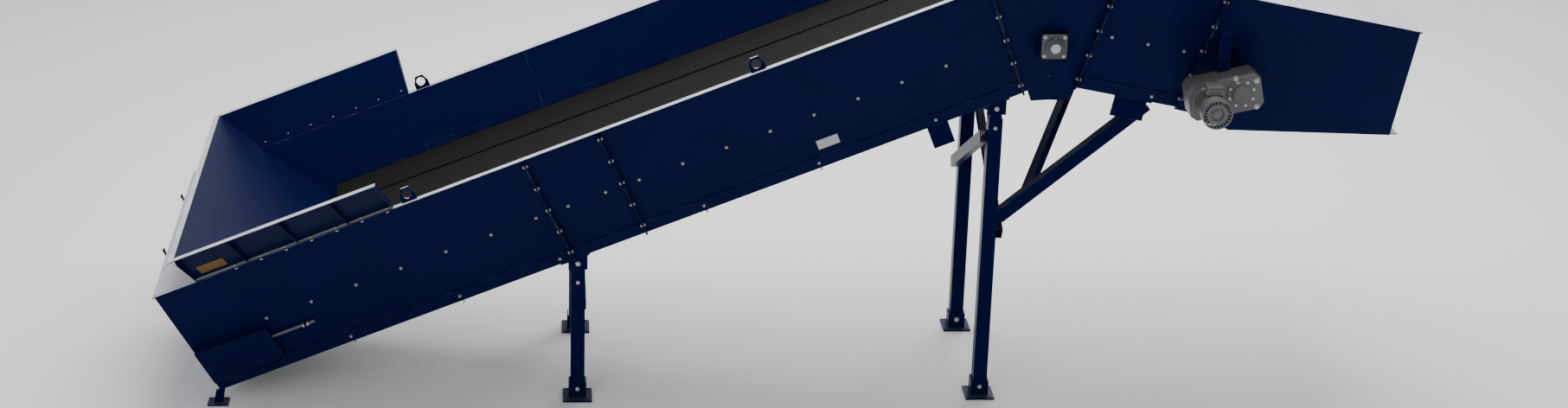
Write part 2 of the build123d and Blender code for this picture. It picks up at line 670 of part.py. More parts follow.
def take_up_block():
    """Near-side sliding bearing block with its threaded rod."""
    body = block(TAIL_S - 60, TAIL_S + 60, -SLIDE_Y1, -SLIDE_Y0, TAIL_T - SLIDE_HALF, TAIL_T + SLIDE_HALF)
    body -= rod_y(TAIL_S, TAIL_T, SHAFT_R + RUNNING, -900, 0)
    return body


def take_up_frame():
    """Rails above and below the block, joined by end plates."""
    s0 = TAIL_S - 80
    s1 = TAIL_S + TAKE_UP + 90
    low = TAIL_T - SLIDE_HALF - 0.5
    high = TAIL_T + SLIDE_HALF + 0.5
    frame = block(s0, s1, -SLIDE_Y1 + 3, -SLIDE_Y0 - 3, high, high + RAIL)
    frame += block(s0, s1, -SLIDE_Y1 + 3, -SLIDE_Y0 - 3, low - RAIL, low)
    frame += block(s0 - 10, s0, -SLIDE_Y1 + 3, -SLIDE_Y0 - 3, low - RAIL, high + RAIL)
    frame += block(s1, s1 + 10, -SLIDE_Y1 + 3, -SLIDE_Y0 - 3, low - RAIL, high + RAIL)
    return frame - rod_x(-ROD_Y, ROD_T, ROD_R + 3, s1 - 5, s1 + 20)


ROD_END = LUG_S + 60
take_up_rod = rod_x(-ROD_Y, ROD_T, ROD_R, TAIL_S + 60, ROD_END)
rod_r = ROD_T * COS + (ROD_Y - HALF) * SIN
rod_h = (ROD_Y - HALF) * COS - ROD_T * SIN
lug = on_wall(LUG_S, rod_r, (SHEET + rod_h + 16) / 2) * Box(14, 44, rod_h + 16 - SHEET)
lug = lug - rod_x(-ROD_Y, ROD_T, ROD_R + 1, LUG_S - 30, LUG_S + 30)
nut = Rot(0, 90, 0) * extrude(RegularPolygon(15.0, 6), amount=14)
nut = nut - rod_x(0, 0, ROD_R + RUNNING, -20, 40)
rod_nuts = [Pos(LUG_S - 7 - 14, -ROD_Y, ROD_T) * nut, Pos(LUG_S + 7, -ROD_Y, ROD_T) * nut]
GUARD_OUT = 52.0
guard = on_wall(247, 262, (SHEET + GUARD_OUT) / 2) * Box(474, 300, GUARD_OUT - SHEET)
guard -= on_wall(247, 262 - 6, (SHEET + GUARD_OUT) / 2 - 3) * Box(468, 302, GUARD_OUT - SHEET)
guard -= rod_x(-ROD_Y, ROD_T, ROD_R + 4, 400, 600)
add("take_up_blocks", *[incline(piece) for piece in both(take_up_block())])
add("take_up_blocks", *[incline(piece) for piece in both(take_up_rod)])
add("take_up_frames", *[incline(piece) for part in (take_up_frame(), lug) for piece in both(part)])
add("take_up_nuts", *[incline(piece) for item in rod_nuts for piece in both(item)])
add("take_up_guards", incline(guard), incline(far(guard)))

# ---- tail end ----

def trough_y(t):
    """Half the clear width of the trough at height t."""
    return HALF + t * SIN / COS


END_LOW = 20.0
DOOR_LOW = 190.0
DOOR_HIGH = 835.0
DOOR_HALF = 685.0
end_points = [(-trough_y(END_LOW) + 1, END_LOW), (trough_y(END_LOW) - 1, END_LOW),
              (trough_y(RISE - 6) - 1, RISE - 6), (-trough_y(RISE - 6) + 1, RISE - 6)]
tail_end = prism_x(end_points, 0, SHEET)
tail_end -= block(-10, 20, -DOOR_HALF + 30, DOOR_HALF - 30, DOOR_LOW + 30, DOOR_HIGH - 30)
add("tail_end_plate", incline(tail_end))
deck_points = [(-trough_y(RISE - 5) + 1, RISE - 5), (trough_y(RISE - 5) - 1, RISE - 5),
               (trough_y(RISE) - 1, RISE), (-trough_y(RISE) + 1, RISE)]
tail_deck = prism_x(deck_points, 0, HOPPER_S0 + 180)
door = block(-4, -0.5, -DOOR_HALF, DOOR_HALF, DOOR_LOW, DOOR_HIGH)
HINGE_S = -9.0
HINGE_Y = (-330.0, 330.0)
LATCH_Y = (-300.0, 640.0)
knuckle = rod_y(HINGE_S, DOOR_LOW - 6, 4.5, -60, 60) - rod_y(HINGE_S, DOOR_LOW - 6, 2.55, -70, 70)
leaf = block(-7, -4, -60, 60, DOOR_LOW + 2, DOOR_LOW + 30)
leaf += block(-10.5, -6.5, -60, 60, DOOR_LOW - 3.2, DOOR_LOW + 8)
leaf = leaf + knuckle - rod_y(HINGE_S, DOOR_LOW - 6, 2.55, -70, 70)
add("tail_door", incline(door), *[incline(Pos(0, y, 0) * leaf) for y in HINGE_Y])
pins = []
for y in HINGE_Y:
    pin = rod_y(HINGE_S, DOOR_LOW - 6, 2.5, y - 78, y + 78)
    for side in (-1, 1):
        centre = y + side * 70
        pin += block(HINGE_S - 4, 0, centre - 8, centre + 8, DOOR_LOW - 14, DOOR_LOW - 1)
    pins.append(pin)
add("door_hinge_pins", *[incline(pin) for pin in pins])
LATCH_T = DOOR_HIGH - 30
latches = []
for y in LATCH_Y:
    strap = block(-16, -4, y - 24, y + 24, LATCH_T - 90, LATCH_T)
    strap += rod_y(-15, LATCH_T - 100, 11, y - 34, y + 34)
    latches.append(strap)
add("tail_door", *[incline(base) for base in latches])
for label, y in zip(("latch_near", "latch_far"), LATCH_Y):
    lever = rod_y(-24, LATCH_T - 20, 6, y - 24, y + 24)
    lever += block(-30, -19, y - 20, y + 20, LATCH_T - 20, DOOR_HIGH + 60)
    add(label, incline(lever))
keepers = [block(-18, 0, y - 26, y + 26, DOOR_HIGH + 4, DOOR_HIGH + 24) for y in LATCH_Y]
add("door_hinge_pins", *[incline(keeper) for keeper in keepers])

# ---- loading hopper ----

def hopper_side():
    """Near flared panel with its foot strip and turned-out rim."""
    foot_y, foot_z = wall_yz(WALL)
    rim_y = -HOPPER_HALF + RIM
    rim_z = RISE + HOPPER_RISE
    run = foot_y - rim_y
    rise = rim_z - (foot_z + 0.5)
    length = math.hypot(run, rise)
    push = (-rise / length * SHEET, -run / length * SHEET)
    outline = [
        (foot_y, foot_z + 0.5),
        (rim_y, rim_z),
        (rim_y - RIM, rim_z),
        (rim_y - RIM, rim_z - SHEET),
        (rim_y + push[0], rim_z - SHEET),
        (foot_y + push[0] - 2, foot_z + SHEET + 0.5),
        (foot_y - TOP_FLANGE + 2, foot_z + SHEET + 0.5),
        (foot_y - TOP_FLANGE + 2, foot_z + 0.5),
    ]
    return prism_x(outline, HOPPER_S0, HOPPER_S1)


def hopper_rib(s):
    """Gusset under the flared panel, standing on the wall's top flange."""
    foot_y, foot_z = wall_yz(WALL)
    rim_y = -HOPPER_HALF + RIM
    rim_z = RISE + HOPPER_RISE
    tip_y = rim_y - 44
    top_z = rim_z - SHEET - 1
    base_z = foot_z + SHEET + 1
    outline = [(foot_y - 14, base_z), (rim_y - 8, top_z), (tip_y, top_z), (tip_y, rim_z - 34),
               (foot_y - 46, base_z)]
    return prism_x(outline, s, s + SHEET)


hopper_panel = cut_all(hopper_side(), hopper_holes)
add("hopper_panels", *[incline(panel) for panel in both(hopper_panel)])
bolt_y = wall_yz(WALL)[0] - HOPPER_BOLT_OUT
hopper_bolts = [Pos(s, bolt_y, RISE + SHEET + 0.5) * hex_bolt(2 * SHEET + 0.5) for s in HOPPER_BOLTS]
add("panel_bolts", *[incline(piece) for bolt in hopper_bolts for piece in both(bolt)])
RIB_S = (HOPPER_S0, 620.0, 945.0, 1270.0, HOPPER_S1 - SHEET)
add("hopper_ribs", *[incline(piece) for s in RIB_S for piece in both(hopper_rib(s))])


def back_chute():
    """Sloping back plate of the hopper, from the rim down to just above the belt."""
    rim_z = RISE + HOPPER_RISE
    low_z = BED_T + BELT + 14
    run = HOPPER_CHUTE - HOPPER_S0
    fall = rim_z - low_z
    length = math.hypot(run, fall)
    thick = (SHEET * fall / length, SHEET * run / length)
    side = prism_y([(HOPPER_S0, rim_z), (HOPPER_CHUTE, low_z), (HOPPER_CHUTE - thick[0], low_z - thick[1]),
                    (HOPPER_S0 - thick[0], rim_z - thick[1])], -HOPPER_HALF, HOPPER_HALF)
    foot_y, foot_z = wall_yz(WALL)
    clear = 1.0
    deep_z = low_z - 20
    rim_y = HOPPER_HALF - RIM - clear
    deep_y = trough_y(deep_z) - clear
    keep = [(foot_y + clear, foot_z), (-rim_y, rim_z + 1), (rim_y, rim_z + 1), (-foot_y - clear, foot_z),
            (deep_y, deep_z), (-deep_y, deep_z)]
    return side & prism_x(keep, 0, HOPPER_CHUTE + 10)


chute = back_chute()
rim_bar = block(HOPPER_S0 - 46, HOPPER_S0 - 5, -HOPPER_HALF, HOPPER_HALF, RISE + HOPPER_RISE - SHEET,
                RISE + HOPPER_RISE)
add("hopper_back_chute", incline(chute), incline(rim_bar))
tail_deck -= (
    prism_y([(HOPPER_S0 - 12, RISE + HOPPER_RISE), (HOPPER_CHUTE, BED_T), (HOPPER_CHUTE + 900, BED_T),
             (HOPPER_S0 + 900, RISE + HOPPER_RISE)], -BIG, BIG))
add("tail_deck", incline(tail_deck))
LUG_PLATE_S = 1667.0
EYE_HALF = 48.0           # half width of a lifting lug, and height of its eye
EYE_HEIGHT = 90.0
EYE_SHEET = 12.0
EYE_R = 30.0
lifting = []
for s in (LUG_PLATE_S, 3900.0):
    eye_points = [(s - EYE_HALF, RISE), (s + EYE_HALF, RISE), (s + EYE_HALF, RISE + 40),
                  (s + EYE_HALF / 2, RISE + EYE_HEIGHT), (s - EYE_HALF / 2, RISE + EYE_HEIGHT),
                  (s - EYE_HALF, RISE + 40)]
    pad_eye = prism_y(eye_points, -trough_y(RISE) - 8 - EYE_SHEET, -trough_y(RISE) - 8)
    lifting.append(pad_eye - rod_y(s, RISE + EYE_HALF, EYE_R, -BIG, BIG))
add("lifting_lugs", *[incline(piece) for eye in lifting for piece in both(eye)])

# ---- legs ----

PIVOT_DROP = 62.0         # pivot below the walls' bottom edge
COLLAR_DROP = 70.0        # top of the outer tube below the pivot
OVERLAP = 260.0           # inner tube inside the outer one
FOOT_PIVOT_Z = 70.0
PIN_DROP = 60.0           # height pin below the outer tube's top
CLEVIS_IN = 48.0
CLEVIS_OUT = 56.0
CLEVIS_TOP = 112.0
CHEEK_HALF = 60.0
CHEEK_SHEET = 8.0
CHEEK_GAP = 4.0


def bottom_z(x):
    """Height of the walls' bottom edge at x on the loading run."""
    return TAIL_LIFT + x * math.tan(SLOPE)


def square_tube(x, y, size, z0, z1):
    """An upright square tube."""
    outer = block(x - size / 2, x + size / 2, y - size / 2, y + size / 2, z0, z1)
    inner = size / 2 - TUBE_WALL
    return outer - block(x - inner, x + inner, y - inner, y + inner, z0 - 1, z1 + 1)


feet = []
pivots = []
brackets = []
for label, leg_x in (("tail_legs", LEG_X_TAIL), ("head_legs", LEG_X_HEAD)):
    pivot_z = bottom_z(leg_x) - PIVOT_DROP
    collar_z = pivot_z - COLLAR_DROP
    pin_z = collar_z - PIN_DROP
    outer_tube = square_tube(leg_x, -LEG_Y, TUBE, 26, collar_z)
    outer_tube -= rod_y(leg_x, FOOT_PIVOT_Z, 9, -BIG, BIG)
    inner_tube = square_tube(leg_x, -LEG_Y, INNER_TUBE, collar_z - OVERLAP, pivot_z + 24)
    inner_tube -= rod_y(leg_x, pivot_z, 10, -BIG, BIG)
    inner_tube -= rod_y(leg_x, pin_z, 8, -BIG, BIG)
    outer_tube -= rod_y(leg_x, pin_z, 8, -BIG, BIG)
    add(label, *both(outer_tube))
    add("leg_extensions", *both(inner_tube))
    plate = block(-FOOT_LENGTH / 2, FOOT_LENGTH / 2, -FOOT_WIDTH / 2, FOOT_WIDTH / 2, 0, FOOT_SHEET)
    for dx in (-ANCHOR_X / 2, ANCHOR_X / 2):
        for dy in (-ANCHOR_Y / 2, ANCHOR_Y / 2):
            plate -= Pos(dx, dy, 0) * Cylinder(ANCHOR_R, 60)
    clevis = block(-CLEVIS_OUT, -CLEVIS_IN, -CLEVIS_IN, CLEVIS_OUT, FOOT_SHEET, CLEVIS_TOP)
    clevis += block(CLEVIS_IN, CLEVIS_OUT, -CLEVIS_IN, CLEVIS_OUT, FOOT_SHEET, CLEVIS_TOP)
    clevis += block(-CLEVIS_OUT, CLEVIS_OUT, CLEVIS_IN, CLEVIS_OUT, FOOT_SHEET, CLEVIS_TOP)
    clevis -= rod_y(0, FOOT_PIVOT_Z, 9, -BIG, BIG)
    feet.append(Pos(leg_x, -LEG_Y, 0) * (plate + clevis))
    tube_y = -LEG_Y - TUBE / 2
    pivots.append(Pos(leg_x, tube_y, FOOT_PIVOT_Z) * Rot(90, 0, 0) * hex_bolt(TUBE / 2 + CLEVIS_OUT, 8))
    pivots.append(Pos(leg_x, tube_y, pin_z) * Rot(90, 0, 0) * hex_bolt(TUBE, 7))
    cheek_in = INNER_TUBE / 2 + CHEEK_GAP
    cheek_out = cheek_in + CHEEK_SHEET
    cheeks = [Pos(leg_x, -LEG_Y, pivot_z) * block(-CHEEK_HALF, CHEEK_HALF, y0, y1, -40, 90)
              for y0, y1 in ((-cheek_out, -cheek_in), (cheek_in, cheek_out))]
    leg_s = leg_x / math.cos(SLOPE)
    shelf = incline(block(leg_s - 120, leg_s + 72, -HALF - 6, -HALF + FOOT_FLANGE + 70, -16, -6))
    above_shelf = incline(block(leg_s - 400, leg_s + 400, -BIG, BIG, -8, 400))
    saddle = (cheeks[0] - above_shelf) + (cheeks[1] - above_shelf) + shelf
    saddle -= rod_y(leg_x, pivot_z, 10, -BIG, BIG)
    brackets.append(saddle)
    saddle_bolt = hex_bolt(2 * cheek_out, 9)
    pivots.append(Pos(leg_x, -LEG_Y - cheek_out, pivot_z) * Rot(90, 0, 0) * saddle_bolt)
add("floor_feet", *[piece for foot in feet for piece in both(foot)])
add("leg_bolts", *[piece for bolt in pivots for piece in both(bolt)])
add("leg_saddles", *[piece for saddle in brackets for piece in both(saddle)])


CHANNEL_WIDE = 76.0       # brace channels
CHANNEL_DEEP = 45.0
CHANNEL_SHEET = 6.0


def channel_between(start, end, up):
    """A channel from one point to another, its web facing up and its flanges below."""
    axis = Vector(*end) - Vector(*start)
    lift = Vector(*up)
    lift -= axis * (lift.dot(axis) / axis.dot(axis))
    place = Plane(origin=start, x_dir=tuple(axis), z_dir=tuple(lift))
    half = CHANNEL_WIDE / 2
    inner = half - CHANNEL_SHEET
    bar = block(0, axis.length, -half, half, -CHANNEL_DEEP, 0)
    bar -= block(-1, axis.length + 1, -inner, inner, -CHANNEL_DEEP - 1, -CHANNEL_SHEET)
    return Location(place) * bar


X_FACE = TUBE / 2
CROSS_HALF = LEG_Y + 20
cross_out = LEG_X_HEAD + X_FACE + CHANNEL_DEEP
cross_in = LEG_X_HEAD - X_FACE - CHANNEL_DEEP
add("leg_braces",
    channel_between((cross_out, -CROSS_HALF, 1120), (cross_out, CROSS_HALF, 1640), (1, 0, 0)),
    channel_between((cross_in, -CROSS_HALF, 1780), (cross_in, CROSS_HALF, 1190), (-1, 0, 0)))
tie_z = 620.0
tie = block(X_FACE, X_FACE + 8, -LEG_Y - 40, LEG_Y + 40, tie_z, tie_z + 70)
add("leg_braces", Pos(LEG_X_TAIL, 0, 0) * tie)


def knee_brace():
    """Near strut from the head leg up to the head run."""
    x0, z0 = LEG_X_HEAD + X_FACE + 12, 1235.0
    x1, z1 = 5760.0, 1990.0
    length = math.hypot(x1 - x0, z1 - z0)
    slope = math.degrees(math.atan2(z1 - z0, x1 - x0))
    channel = block(0, length, -LEG_Y - 38, -LEG_Y + 38, -40, 40)
    channel -= block(-1, length + 1, -LEG_Y - 32, -LEG_Y + 39, -34, 34)
    return Pos(x0, 0, z0) * Rot(0, -slope, 0) * channel


strut = knee_brace()
leg_seat = block(LEG_X_HEAD - 200, LEG_X_HEAD + X_FACE + 8.5, -BIG, BIG, 900, 1500)
strut = strut - leg_seat
GUSSET_TOP = -6.0
GUSSET_SHEET = 8.0
gusset = head(block(430, 640, -LEG_Y - 46, -LEG_Y - 38.5, -150, GUSSET_TOP))
seat_plate = head(block(420, 660, -HALF - 6, -LEG_Y + 40, GUSSET_TOP - GUSSET_SHEET, GUSSET_TOP))
add("leg_saddles", seat_plate + gusset - strut, far(seat_plate))
diagonal = channel_between((4985, -560, 1290), (5610, 600, 2115), (-0.65, 0, 0.76))
diagonal -= block(4700, 5300, -900, -LEG_Y + 39.5, 1000, 1800)
diagonal -= head(block(-400, 1200, -BIG, BIG, GUSSET_TOP - GUSSET_SHEET - 0.5, 400))
add("knee_braces", strut, diagonal)

# ---- tail feet ----

foot_base = block(-82, 46, -HALF - 40, -HALF + 78, 0, 8)
for dx in (-60, 24):
    foot_base -= Pos(dx, -HALF + 44, 0) * Cylinder(8, 60)
foot_web = prism_y([(-44, 8), (16, 8), (30, 118), (-26, 96)], -HALF + 2, -HALF + 12)
tail_foot = foot_base + foot_web
tail_foot = tail_foot - incline(block(-200, 400, -BIG, BIG, 0, 400))
add("floor_feet", *both(tail_foot))

# ---- gearmotor ----

MOTOR_X = 6031.0
MOTOR_Z = 2178.0
MOTOR_R = 90.0
CASE_R = 128.0


def gear_case():
    """Parallel-shaft gear case hung on the head shaft."""
    out_x, out_z = HEAD_PULLEY
    lean = math.degrees(math.atan2(out_z - MOTOR_Z, out_x - MOTOR_X))
    reach = math.hypot(out_x - MOTOR_X, out_z - MOTOR_Z)
    case = block(-118, reach + CASE_R, -GEARBOX_Y1, -GEARBOX_Y0, -116, 116)
    case = chamfer(case.edges().filter_by(Axis.Y), 34)
    case = Pos(MOTOR_X, 0, MOTOR_Z) * Rot(0, -lean, 0) * case
    case += rod_y(out_x, out_z, 52, -GEARBOX_Y1 - 22, -GEARBOX_Y1 + 1)
    case -= rod_y(out_x, out_z, SHAFT_R + RUNNING, -GEARBOX_Y1 + 6, -GEARBOX_Y0 + 50)
    case -= rod_y(MOTOR_X, MOTOR_Z, 13.05, -GEARBOX_Y1 - 1, -GEARBOX_Y1 + 40)
    return case


COWL_Y = MOTOR_Y1 - 74     # where the fan cowl meets the motor's body
COWL_SHEET = 3.0
ROTOR_R = 13.0
gearbox = gear_case()
add("gear_case", gearbox)
stator = rod_y(MOTOR_X, MOTOR_Z, MOTOR_R, -COWL_Y, -GEARBOX_Y1 - 14) + rod_y(
    MOTOR_X, MOTOR_Z, 100, -GEARBOX_Y1 - 14, -GEARBOX_Y1)
stator = stator - rod_y(MOTOR_X, MOTOR_Z, 13.05, -MOTOR_Y1, -GEARBOX_Y0)
cowl = rod_y(MOTOR_X, MOTOR_Z, MOTOR_R + COWL_SHEET, -MOTOR_Y1, -COWL_Y)
cowl -= rod_y(MOTOR_X, MOTOR_Z, MOTOR_R, -MOTOR_Y1 + COWL_SHEET, -COWL_Y + 1)
add("motor_housing", stator)
add("fan_cowl", cowl)
rotor = rod_y(MOTOR_X, MOTOR_Z, ROTOR_R, -MOTOR_Y1 + 20, -GEARBOX_Y1 + 38)
fan = rod_y(MOTOR_X, MOTOR_Z, 30, -COWL_Y - 44, -COWL_Y - 8)
for i in range(6):
    blade = block(24, 78, -COWL_Y - 44, -COWL_Y - 10, -2, 2)
    fan += Pos(MOTOR_X, 0, MOTOR_Z) * Rot(0, 60 * i, 0) * blade
add("motor_rotor", rotor + fan)
terminal_box = block(MOTOR_X - 52, MOTOR_X + 52, -COWL_Y + 18, -COWL_Y + 120, MOTOR_Z + MOTOR_R - 4,
                     MOTOR_Z + MOTOR_R + 56) - rod_y(MOTOR_X, MOTOR_Z, MOTOR_R, -MOTOR_Y1, -GEARBOX_Y1)
add("motor_housing", terminal_box)
ARM_X = MOTOR_X + 110
arm = block(ARM_X - 34, ARM_X + 34, -906, -890, MOTOR_Z + 60, MOTOR_Z + 420)
add("torque_arm", arm - gearbox - outside(head))

# ---- belt scraper ----

SCRAPER_X = HEAD_PULLEY[0] + 120
SCRAPER_Z = HEAD_PULLEY[1] - 300
blade_gap = HEAD_R + SKIN + BELT + 0.8
blade_angle = math.radians(-52)
tip_x = HEAD_PULLEY[0] + blade_gap * math.cos(blade_angle)
tip_z = HEAD_PULLEY[1] + blade_gap * math.sin(blade_angle)
SCRAPER_HALF = 560.0
scraper = rod_y(SCRAPER_X, SCRAPER_Z, 20, -SCRAPER_HALF - 20, SCRAPER_HALF + 20)
blade_points = [(SCRAPER_X - 10, SCRAPER_Z), (tip_x - 8, tip_z - 16), (tip_x, tip_z), (tip_x + 10, tip_z - 8),
                (SCRAPER_X + 10, SCRAPER_Z + 4)]
scraper += prism_y(blade_points, -SCRAPER_HALF, SCRAPER_HALF)
add("belt_scraper", scraper)

everything = [solid for shapes in nodes.values() for shape in shapes for solid in shape.solids()]
limits = Compound(children=everything).bounding_box()
CENTRE_X = (limits.min.X + limits.max.X) / 2
LIFT = -limits.min.Z
os.makedirs("parts", exist_ok=True)
for name, shapes in nodes.items():
    solids = [Pos(-CENTRE_X, 0, LIFT) * solid for shape in shapes for solid in shape.solids()]
    export_step(Compound(children=solids), f"parts/{name}.step")
print(len(nodes), "nodes", "centre", round(CENTRE_X, 2), "lift", round(LIFT, 3), limits.size)
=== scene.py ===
"""Looks of the belt conveyor section, laid out as an add-on with an operator for each piece or group."""

import math

import bpy
from mathutils import Matrix, Vector


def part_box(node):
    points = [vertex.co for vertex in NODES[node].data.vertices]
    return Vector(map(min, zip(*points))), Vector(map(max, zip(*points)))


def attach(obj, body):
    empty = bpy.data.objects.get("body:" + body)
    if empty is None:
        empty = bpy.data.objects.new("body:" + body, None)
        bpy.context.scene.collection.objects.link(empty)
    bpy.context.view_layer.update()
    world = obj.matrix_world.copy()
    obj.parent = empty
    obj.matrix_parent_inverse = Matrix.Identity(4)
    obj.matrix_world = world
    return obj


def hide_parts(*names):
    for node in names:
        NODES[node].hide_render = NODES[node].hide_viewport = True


bl_info = {
    "name": "Belt conveyor section",
    "version": (1, 0, 0),
    "blender": (4, 5, 0),
    "location": "3D View > Sidebar > Conveyor",
    "description": "Finishes and detailed pieces of an inclined trough belt conveyor section",
    "category": "Object",
}

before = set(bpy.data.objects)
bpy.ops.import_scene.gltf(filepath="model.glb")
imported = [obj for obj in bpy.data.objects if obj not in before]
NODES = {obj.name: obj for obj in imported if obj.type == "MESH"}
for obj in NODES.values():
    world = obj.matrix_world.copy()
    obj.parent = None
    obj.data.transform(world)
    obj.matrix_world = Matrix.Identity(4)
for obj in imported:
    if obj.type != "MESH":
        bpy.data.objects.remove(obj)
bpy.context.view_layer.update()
TAIL_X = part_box("tail_walls")[0].x


# ---- driving sizes and finishes ----

class ConveyorSizes(bpy.types.PropertyGroup):
    """Sizes of the trough that the added pieces are placed by."""

    incline: bpy.props.FloatProperty(
        name="Incline", description="Slope of the loading run", default=math.radians(21.8), subtype="ANGLE")
    decline: bpy.props.FloatProperty(
        name="Decline", description="Slope of the head run", default=math.radians(11.0), subtype="ANGLE")
    lean: bpy.props.FloatProperty(
        name="Lean", description="Outward lean of the walls", default=math.radians(25.0), subtype="ANGLE")
    wall: bpy.props.FloatProperty(
        name="Wall", description="Slant height of a side wall", default=0.965, unit="LENGTH")
    half: bpy.props.FloatProperty(
        name="Half width", description="Half the clear width at the bottom edge", default=0.62, unit="LENGTH")
    tail_lift: bpy.props.FloatProperty(
        name="Tail lift", description="Height of the tail's bottom edge", default=0.103, unit="LENGTH")
    knee: bpy.props.FloatProperty(
        name="Knee", description="Length of the loading run up to the knee", default=5.53, unit="LENGTH")
    sheet: bpy.props.FloatProperty(
        name="Sheet", description="Thickness of the wall sheet", default=0.005, unit="LENGTH")
    bolt: bpy.props.FloatProperty(
        name="Bolt radius", description="Radius of the panel bolts", default=0.006, unit="LENGTH")
    leg_y: bpy.props.FloatProperty(
        name="Leg offset", description="Distance of the legs from the middle", default=0.543, unit="LENGTH")


class ConveyorFinish(bpy.types.PropertyGroup):
    """Colours of the finishes."""

    navy: bpy.props.FloatVectorProperty(
        name="Navy", description="Paint of the walls, hopper and legs", subtype="COLOR",
        default=(0.0008, 0.0026, 0.027))
    # Light grey painted sheen: lightens the faces that look up, standing in for the sky's reflection on the
    # glossy navy paint.
    pale: bpy.props.FloatVectorProperty(
        name="Pale", description="Bright film on faces that look up", subtype="COLOR",
        default=(0.56, 0.57, 0.60))
    drive: bpy.props.FloatVectorProperty(
        name="Drive grey", description="Enamel of the gearmotor", subtype="COLOR",
        default=(0.075, 0.078, 0.080))
    rubber: bpy.props.FloatVectorProperty(
        name="Rubber", description="Belt, skirts and latches", subtype="COLOR",
        default=(0.0035, 0.0035, 0.004))
    zinc: bpy.props.FloatVectorProperty(
        name="Zinc", description="Plated fasteners", subtype="COLOR", default=(0.42, 0.42, 0.40))
    patch: bpy.props.FloatVectorProperty(
        name="Patch", description="Plain safety patch", subtype="COLOR", default=(0.10, 0.05, 0.002))


# ---- placing ----

SIDES = (-1, 1)  # near, far


def sizes():
    """The size settings of the scene."""
    return bpy.context.scene.conveyor_sizes


def finish():
    """The colour settings of the scene."""
    return bpy.context.scene.conveyor_finish


def origin_x():
    """Where the tail's bottom corner lies along the row's x axis."""
    s = sizes()
    return TAIL_X + s.wall * math.cos(s.lean) * math.sin(s.incline)


def rising():
    """Frame of the loading run: x along it, z square to it, from the tail's bottom edge."""
    s = sizes()
    return Matrix.Translation((origin_x(), 0, s.tail_lift)) @ Matrix.Rotation(-s.incline, 4, "Y")


def falling():
    """Frame of the head run, from the knee."""
    s = sizes()
    knee = Vector((s.knee * math.cos(s.incline), 0, s.knee * math.sin(s.incline) + s.tail_lift))
    return Matrix.Translation(knee + Vector((origin_x(), 0, 0))) @ Matrix.Rotation(s.decline, 4, "Y")


def on_wall(run, x, r, h=0.0, side=-1):
    """A place on a wall's inner face: x along the run, r up the slant, h outward; side is -1 near, 1 far."""
    s = sizes()
    sin, cos = math.sin(s.lean), math.cos(s.lean)
    columns = (Vector((-side, 0, 0)), Vector((0, side * sin, cos)), Vector((0, side * cos, -sin)))
    turn = Matrix([[columns[j][i] for j in range(3)] for i in range(3)]).to_4x4()
    spot = Vector((x, side * s.half, 0)) + columns[1] * r + columns[2] * h
    return run @ Matrix.Translation(spot) @ turn


def upright(x, y, z):
    """A place without a turn."""
    return Matrix.Translation((x, y, z))


def along(direction):
    """A turn that brings z onto a direction."""
    return Vector(direction).to_track_quat("Z", "Y").to_matrix().to_4x4()


def middle(name):
    """The middle of a node's box."""
    low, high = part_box(name)
    return (low + high) / 2


# ---- making meshes ----

def deselect():
    """Select nothing."""
    bpy.ops.object.select_all(action="DESELECT")


def activate(piece):
    """Select one piece alone."""
    deselect()
    piece.select_set(True)
    bpy.context.view_layer.objects.active = piece


def settle(piece, place):
    """Bring a finished piece to its place and put that place in its mesh."""
    piece.matrix_world = place @ piece.matrix_world
    activate(piece)
    bpy.ops.object.transform_apply(location=True, rotation=True, scale=True)
    return piece


def named(name):
    """The primitive just added, with a name and its size put in its mesh."""
    piece = bpy.context.active_object
    piece.name = name
    bpy.ops.object.transform_apply(location=True, rotation=True, scale=True)
    return piece


def block(name, low, high, edge=0.0, segments=2):
    """A bar or plate by its corners, with eased edges."""
    deselect()
    low, high = Vector(low), Vector(high)
    bpy.ops.mesh.primitive_cube_add(size=1, location=(low + high) / 2, scale=high - low)
    piece = named(name)
    if edge:
        modify(piece, "BEVEL", width=edge, segments=segments)
    return piece


def drum(name, radius, depth, sides=32, edge=0.0, low=0.0):
    """A round piece along z from low, with eased rims."""
    deselect()
    bpy.ops.mesh.primitive_cylinder_add(
        vertices=sides, radius=radius, depth=depth, location=(0, 0, low + depth / 2))
    piece = named(name)
    if edge:
        modify(piece, "BEVEL", width=edge, segments=2, limit_method="ANGLE", angle_limit=math.radians(50))
    return piece


def ring(name, radius, thickness, z=0.0, sides=32, section=8):
    """A round bead or ring about z."""
    deselect()
    bpy.ops.mesh.primitive_torus_add(
        major_radius=radius, minor_radius=thickness, major_segments=sides, minor_segments=section,
        location=(0, 0, z))
    return named(name)


def modify(piece, kind, **values):
    """Add a modifier, set it and apply it."""
    activate(piece)
    modifier = piece.modifiers.new(kind.title(), kind)
    for key, value in values.items():
        setattr(modifier, key, value)
    bpy.ops.object.modifier_apply(modifier=modifier.name)
    return piece


def edit(piece, test, *steps):
    """Run edit-mode steps on the faces that pass a test."""
    activate(piece)
    bpy.ops.object.mode_set(mode="EDIT")
    bpy.ops.mesh.select_mode(type="FACE")
    bpy.ops.mesh.select_all(action="DESELECT")
    bpy.ops.object.mode_set(mode="OBJECT")
    for face in piece.data.polygons:
        face.select = bool(test(face))
    bpy.ops.object.mode_set(mode="EDIT")
    for step in steps:
        step()
    bpy.ops.object.mode_set(mode="OBJECT")
    return piece


def inset(width, depth=0.0):
    """An edit step: inset the faces, and sink or raise them."""
    return lambda: bpy.ops.mesh.inset(thickness=width, depth=depth)


def pull(height):
    """An edit step: extrude the faces along their normals."""
    return lambda: bpy.ops.mesh.extrude_region_shrink_fatten(TRANSFORM_OT_shrink_fatten={"value": height})


def lift(height):
    """An edit step: move the faces up along z."""
    return lambda: bpy.ops.transform.translate(value=(0, 0, height))


def top_face(face):
    """Whether a face looks up along z."""
    return face.normal.z > 0.99


